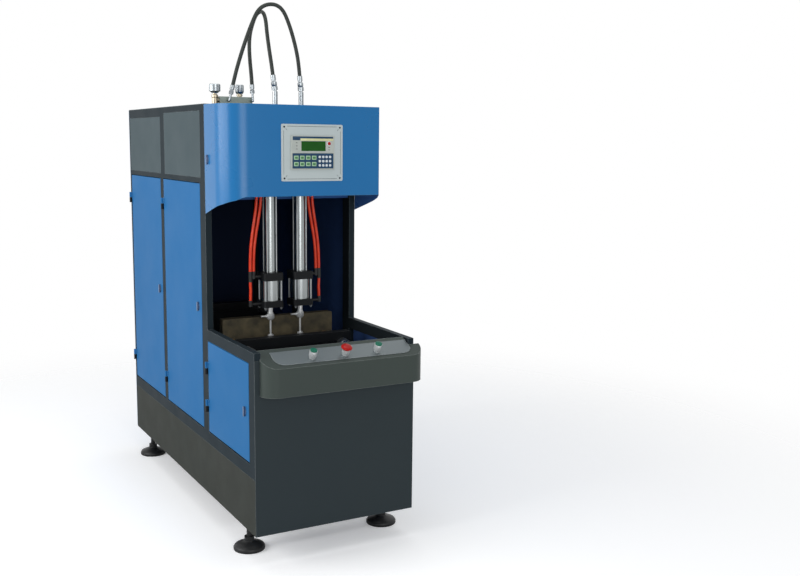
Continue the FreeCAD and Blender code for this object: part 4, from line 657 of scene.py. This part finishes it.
dress(beige_bezel, "display_unit", edge=0.0004)
print("dressed", len([node for node in nodes.values() if node.data.materials]))

# %% [markdown]
# Turned pieces, films and small parts keep crisp corners, so they get no bevel. The hoses and tubes that we
# laid as curves wear their rubber and plastic here too.

# %% Dress the turned and small parts
dress(barrel_alloy, "cylinder_barrels")
dress(ground_steel, "cylinder_tie_rods", "hex_nuts", "hood_keeper")
dress(bright_chrome, "left_seal_rod", "right_seal_rod", "left_stretch_rod", "right_stretch_rod")
dress(bright_chrome, "button_bodies")
dress(chrome, "clamp_rod", "tie_bars")
dress(dull_chrome, "left_regulator_knob", "right_regulator_knob", "hose_fittings")
dress(brass, "regulator_bodies")
dress(bronze, "platen_bushes")
dress(black_plastic, "levelling_feet", "port_fittings")
dress(navy_film, "key_membrane")
dress(screen_glass, "display_screen")
dress(green_button, "left_button", "right_button")
dress(red_button, "stop_button")
for thing in bpy.context.scene.objects:
    if thing.type == "CURVE":
        thing.data.materials.append(hose_rubber if "hose" in thing.name else red_tubing)
print("dressed", len([node for node in nodes.values() if node.data.materials]), "of", len(nodes))

# %% [markdown]
# ## Small pieces
# What is left is too fine for the solids: printed films, key faces, screws and nuts. They all come from one
# helper. It takes a pile of closed rings, each a list of points with its own height, and skins them: walls
# between neighbours and a lid at each end. A round ring gives turned pieces, a ring with six points gives a
# nut, and a ring that follows a rounded rectangle gives keys and films. Blender's own cylinders and cubes
# would leave these without their soft rims and hollows.

# %% Rings
def round_ring(radius, height, steps=28):
    """A circle of points at a height."""
    return [(radius * math.cos(math.tau * step / steps), radius * math.sin(math.tau * step / steps), height)
            for step in range(steps)]


def box_ring(width, depth, corner, height, steps=4):
    """A rounded rectangle of points at a height."""
    points = []
    for quarter, (side, end) in enumerate(((1, 1), (-1, 1), (-1, -1), (1, -1))):
        for step in range(steps + 1):
            angle = math.pi / 2 * (quarter + step / steps)
            points.append((side * (width / 2 - corner) + corner * math.cos(angle),
                           end * (depth / 2 - corner) + corner * math.sin(angle), height))
    return points


print("points in a rounded rectangle", len(box_ring(1, 1, 0.1, 0)))

# %% [markdown]
# A small piece is one object with one material, even where it has many solids: twelve small keys are pressed
# from one sheet. It rides on the body that it is fixed to, so the keys swing away with the hood.

# %% Skins
def skin(mesh, rings, place):
    """Skins a pile of rings into one closed solid."""
    loops = [[mesh.verts.new(place @ Vector(point)) for point in ring] for ring in rings]
    for low, high in zip(loops, loops[1:]):
        for index in range(len(low)):
            after = (index + 1) % len(low)
            mesh.faces.new((low[index], low[after], high[after], high[index]))
    mesh.faces.new(loops[0][::-1])
    mesh.faces.new(loops[-1])


def small_piece(name, body, material, solids):
    """One object out of several skinned solids, each given as its rings and its place."""
    shape = bmesh.new()
    for rings, place in solids:
        skin(shape, rings, place)
    bmesh.ops.recalc_face_normals(shape, faces=shape.faces)
    mesh = bpy.data.meshes.new(name)
    shape.to_mesh(mesh)
    shape.free()
    mesh.shade_smooth()
    piece = bpy.data.objects.new(name, mesh)
    bpy.context.scene.collection.objects.link(piece)
    piece.modifiers.new("crisp_edge", "EDGE_SPLIT").split_angle = CRISP_ANGLE
    mesh.materials.append(material)
    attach(piece, body)
    return piece


# %% [markdown]
# The controller's face stands upright and looks to -Y. One matrix lays our flat pieces on it: it tips their
# own Z forward and puts their middle where we say, as a part of the face's width and height from its upper
# left corner.

# %% Places on the controller
unit_low, unit_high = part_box("display_unit")
membrane_low, membrane_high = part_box("key_membrane")
UNIT_FACE = unit_low[1]
KEY_FACE = membrane_low[1]
SUNK = 0.0001
FILM = 0.0004


def upright(x, y, z):
    """A place on a face that looks to -Y."""
    return Matrix.Translation((x, y, z)) @ Matrix.Rotation(math.radians(90), 4, "X")


def film(width, height, corner, thickness=FILM):
    """The rings of a thin film with a soft rim, sunk a little into its face."""
    return [box_ring(width, height, corner, -SUNK), box_ring(width, height, corner, thickness * 0.6),
            box_ring(width - FILM, height - FILM, corner, thickness)]


def on_unit(left, top, width, height):
    """The middle of a patch of the controller's face, from fractions of the face."""
    across = unit_high[0] - unit_low[0]
    rise = unit_high[2] - unit_low[2]
    x = unit_low[0] + across * (left + width / 2)
    z = unit_high[2] - rise * (top + height / 2)
    return across * width, rise * height, upright(x, UNIT_FACE, z)


print("controller", round(unit_high[0] - unit_low[0], 3), "m wide")

# %% [markdown]
# The face carries thin printed films: a dark band along its head with a step at the left corner, and a cream
# label above the screen.

# %% Films on the controller
def unit_film(name, material, left, top, width, height, corner):
    """A film on the controller's face."""
    wide, high, place = on_unit(left, top, width, height)
    return small_piece(name, "hood", material, [(film(wide, high, corner), place)])


unit_film("header_film", navy_film, 0.035, 0.025, 0.93, 0.055, 0.001)
unit_film("header_corner", navy_film, 0.035, 0.08, 0.17, 0.055, 0.001)
unit_film("screen_label", cream_film, 0.212, 0.085, 0.753, 0.062, 0.0008)
print("films", 3)

# %% [markdown]
# The large keys are pale green with a darker middle, the small ones white. They sit on the membrane's domes,
# whose pitch is a part of the membrane's own width, so we work that out again from its box. The places and
# sizes of the keys are parts of the pitch, the width and the height.

# %% Key faces
membrane_width = membrane_high[0] - membrane_low[0]
membrane_height = membrane_high[2] - membrane_low[2]
large_pitch = membrane_width * 0.145
small_pitch = membrane_width * 0.085
large_keys, key_middles, small_keys = [], [], []
for column in range(4):
    x = membrane_low[0] + large_pitch * (column + 0.59)
    for row in range(2):
        z = membrane_low[2] + membrane_height * (0.29 + 0.42 * row)
        large_keys.append((film(large_pitch * 0.76, membrane_height * 0.27, 0.002),
                           upright(x, KEY_FACE, z)))
        key_middles.append((film(large_pitch * 0.48, membrane_height * 0.14, 0.001),
                            upright(x, KEY_FACE - FILM, z)))
    x = membrane_low[0] + membrane_width * 0.63 + small_pitch * (column + 0.36)
    for row in range(3):
        z = membrane_low[2] + membrane_height * (0.205 + 0.28 * row)
        small_keys.append((film(small_pitch * 0.7, membrane_height * 0.165, 0.0042),
                           upright(x, KEY_FACE, z)))
small_piece("large_keys", "hood", key_film, large_keys)
small_piece("key_middles", "hood", key_centre, key_middles)
small_piece("small_keys", "hood", white_film, small_keys)
print("keys", len(large_keys) + len(small_keys))

# %% [markdown]
# A red signal lamp stands to the right of the screen: a turned piece with a collar and a domed lens. Small
# printed marks stand beside the screen, three at its left and two at its right.

# %% Lamp and marks
LAMP_RADIUS = 0.0068
COLLAR_RADIUS = 0.0086
dome = [round_ring(LAMP_RADIUS * math.cos(angle), 0.0012 + LAMP_RADIUS * 0.5 * math.sin(angle))
        for angle in (0, 0.3, 0.6, 0.9, 1.2, 1.45)]
lamp_spot = on_unit(0.845, 0.18, 0.05, 0.09)[2]
lens = [round_ring(LAMP_RADIUS, -SUNK)] + dome
small_piece("signal_lamp", "hood", red_button, [(lens, lamp_spot)])
collar = [round_ring(COLLAR_RADIUS, -SUNK), round_ring(COLLAR_RADIUS, 0.0008),
          round_ring(COLLAR_RADIUS - 0.0006, 0.0012)]
small_piece("lamp_collar", "hood", white_film, [(collar, lamp_spot)])
mark = film(0.006, 0.0022, 0.0006)
marks = [(mark, on_unit(0.10, top, 0.05, 0.02)[2]) for top in (0.2, 0.29, 0.38)]
marks += [(mark, on_unit(0.845, top, 0.05, 0.02)[2]) for top in (0.33, 0.40)]
small_piece("printed_marks", "hood", ink, marks)
print("marks", len(marks))

# %% [markdown]
# The silver plate round the controller carries four dark screws and an engraved frame of thin lines. A
# screw's hollow is drawn by its rings too: the last ones go back down inside the head.

# %% Screw heads and thin lines
def socket_screw(radius):
    """The rings of a low round screw head with a hollow."""
    return [round_ring(radius, -0.0002), round_ring(radius, radius * 0.35),
            round_ring(radius * 0.86, radius * 0.62), round_ring(radius * 0.5, radius * 0.7),
            round_ring(radius * 0.46, radius * 0.2)]


def thin_line(width, height):
    """The rings of an engraved line."""
    return film(width, height, 0.0004, 0.0002)


print("rings in a screw head", len(socket_screw(1)))

# %% [markdown]
# Each corner of the plate gets a screw and a short slanting mark, each side a line that stops short of the
# corners. All of them are laid out from the plate's middle, so one loop over the signs places them.

# %% Screws and engraved lines
SCREW_RADIUS = 0.0034
SCREW_INSET = (0.012, 0.011)
LINE_INSET = (0.0095, 0.0085)
LINE_STOP = 0.05
MARK_STEP = 0.009
MARK_LENGTH = 0.009

plate_low, plate_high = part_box("control_plate")
PLATE_FACE = plate_low[1]
plate_middle = ((plate_low[0] + plate_high[0]) / 2, (plate_low[2] + plate_high[2]) / 2)
plate_half = ((plate_high[0] - plate_low[0]) / 2, (plate_high[2] - plate_low[2]) / 2)
screws, lines = [], []
for side in (-1, 1):
    for end in (-1, 1):
        x = plate_middle[0] + side * (plate_half[0] - SCREW_INSET[0])
        z = plate_middle[1] + end * (plate_half[1] - SCREW_INSET[1])
        screws.append((socket_screw(SCREW_RADIUS), upright(x, PLATE_FACE, z)))
        corner_mark = upright(x - side * MARK_STEP, PLATE_FACE, z - end * MARK_STEP)
        aslant = Matrix.Rotation(math.radians(45 * side * end), 4, "Z")
        lines.append((thin_line(MARK_LENGTH, 0.0012), corner_mark @ aslant))
    z = plate_middle[1] + side * (plate_half[1] - LINE_INSET[1])
    lines.append((thin_line(plate_half[0] * 2 - LINE_STOP, 0.0013), upright(plate_middle[0], PLATE_FACE, z)))
    x = plate_middle[0] + side * (plate_half[0] - LINE_INSET[0])
    lines.append((thin_line(0.0011, plate_half[1] * 2 - LINE_STOP), upright(x, PLATE_FACE, plate_middle[1])))
small_piece("plate_screws", "hood", ink, screws)
small_piece("engraved_lines", "hood", ink, lines)
print("screws", len(screws), "lines", len(lines))

# %% [markdown]
# Nuts close the tie rods under the two seal cylinders, four to a cylinder. They hang upside down, so each is
# turned over before it goes to its place.

# %% Nuts under the cylinders
CYLINDER_X = 0.065
ROD_STEP = 0.0335
NUT_RADIUS = 0.0068
NUT_RISE = 0.0055


def hex_ring(radius, height):
    """Six points at a height."""
    return round_ring(radius, height, 6)


def hex_head(radius, rise):
    """The rings of a six-sided nut with a soft upper rim."""
    return [hex_ring(radius, 0), hex_ring(radius, rise * 0.85), hex_ring(radius * 0.93, rise)]


CAP_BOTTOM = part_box("cylinder_caps")[0][2]
downward = Matrix.Rotation(math.pi, 4, "X")
nut_spots = [Matrix.Translation((x + dx, CYLINDER_Y + dy, CAP_BOTTOM + 0.0003)) @ downward
             for x in (-CYLINDER_X, CYLINDER_X)
             for dx in (-ROD_STEP, ROD_STEP) for dy in (-ROD_STEP, ROD_STEP)]
nut = hex_head(NUT_RADIUS, NUT_RISE)
rod_end = [round_ring(0.0035, 0.004, 16), round_ring(0.0035, 0.0085, 16), round_ring(0.0028, 0.0092, 16)]
small_piece("cap_nuts", "machine", ground_steel, [(nut, spot) for spot in nut_spots])
small_piece("rod_ends", "machine", ground_steel, [(rod_end, spot) for spot in nut_spots])
print("nuts", len(nut_spots))

# %% [markdown]
# Screws hold the rear panel to the frame. Each row is spaced out along the panel, so it follows the solid's
# box.

# %% Screws on the rear panel
SCREWS_A_SIDE = 5
REAR_SCREW_RADIUS = 0.0045
SIDE_INSET = 0.02
END_INSET = 0.03
rear_low, rear_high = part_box("rear_panel")
backward = Matrix.Rotation(math.radians(-90), 4, "X")
rear_screws = []
for x in (rear_low[0] + SIDE_INSET, rear_high[0] - SIDE_INSET):
    for step in range(SCREWS_A_SIDE):
        run = rear_high[2] - rear_low[2] - END_INSET * 2
        z = rear_low[2] + END_INSET + run * step / (SCREWS_A_SIDE - 1)
        spot = Matrix.Translation((x, rear_high[1], z)) @ backward
        rear_screws.append((socket_screw(REAR_SCREW_RADIUS), spot))
small_piece("rear_screws", "machine", black_plastic, rear_screws)
print("rear screws", len(rear_screws))

# %% [markdown]
# ## Last settings
# The view transform is set to Standard, so that colours come out as written.

# %% The view transform
bpy.context.view_layer.update()
bpy.context.scene.view_settings.view_transform = "Standard"
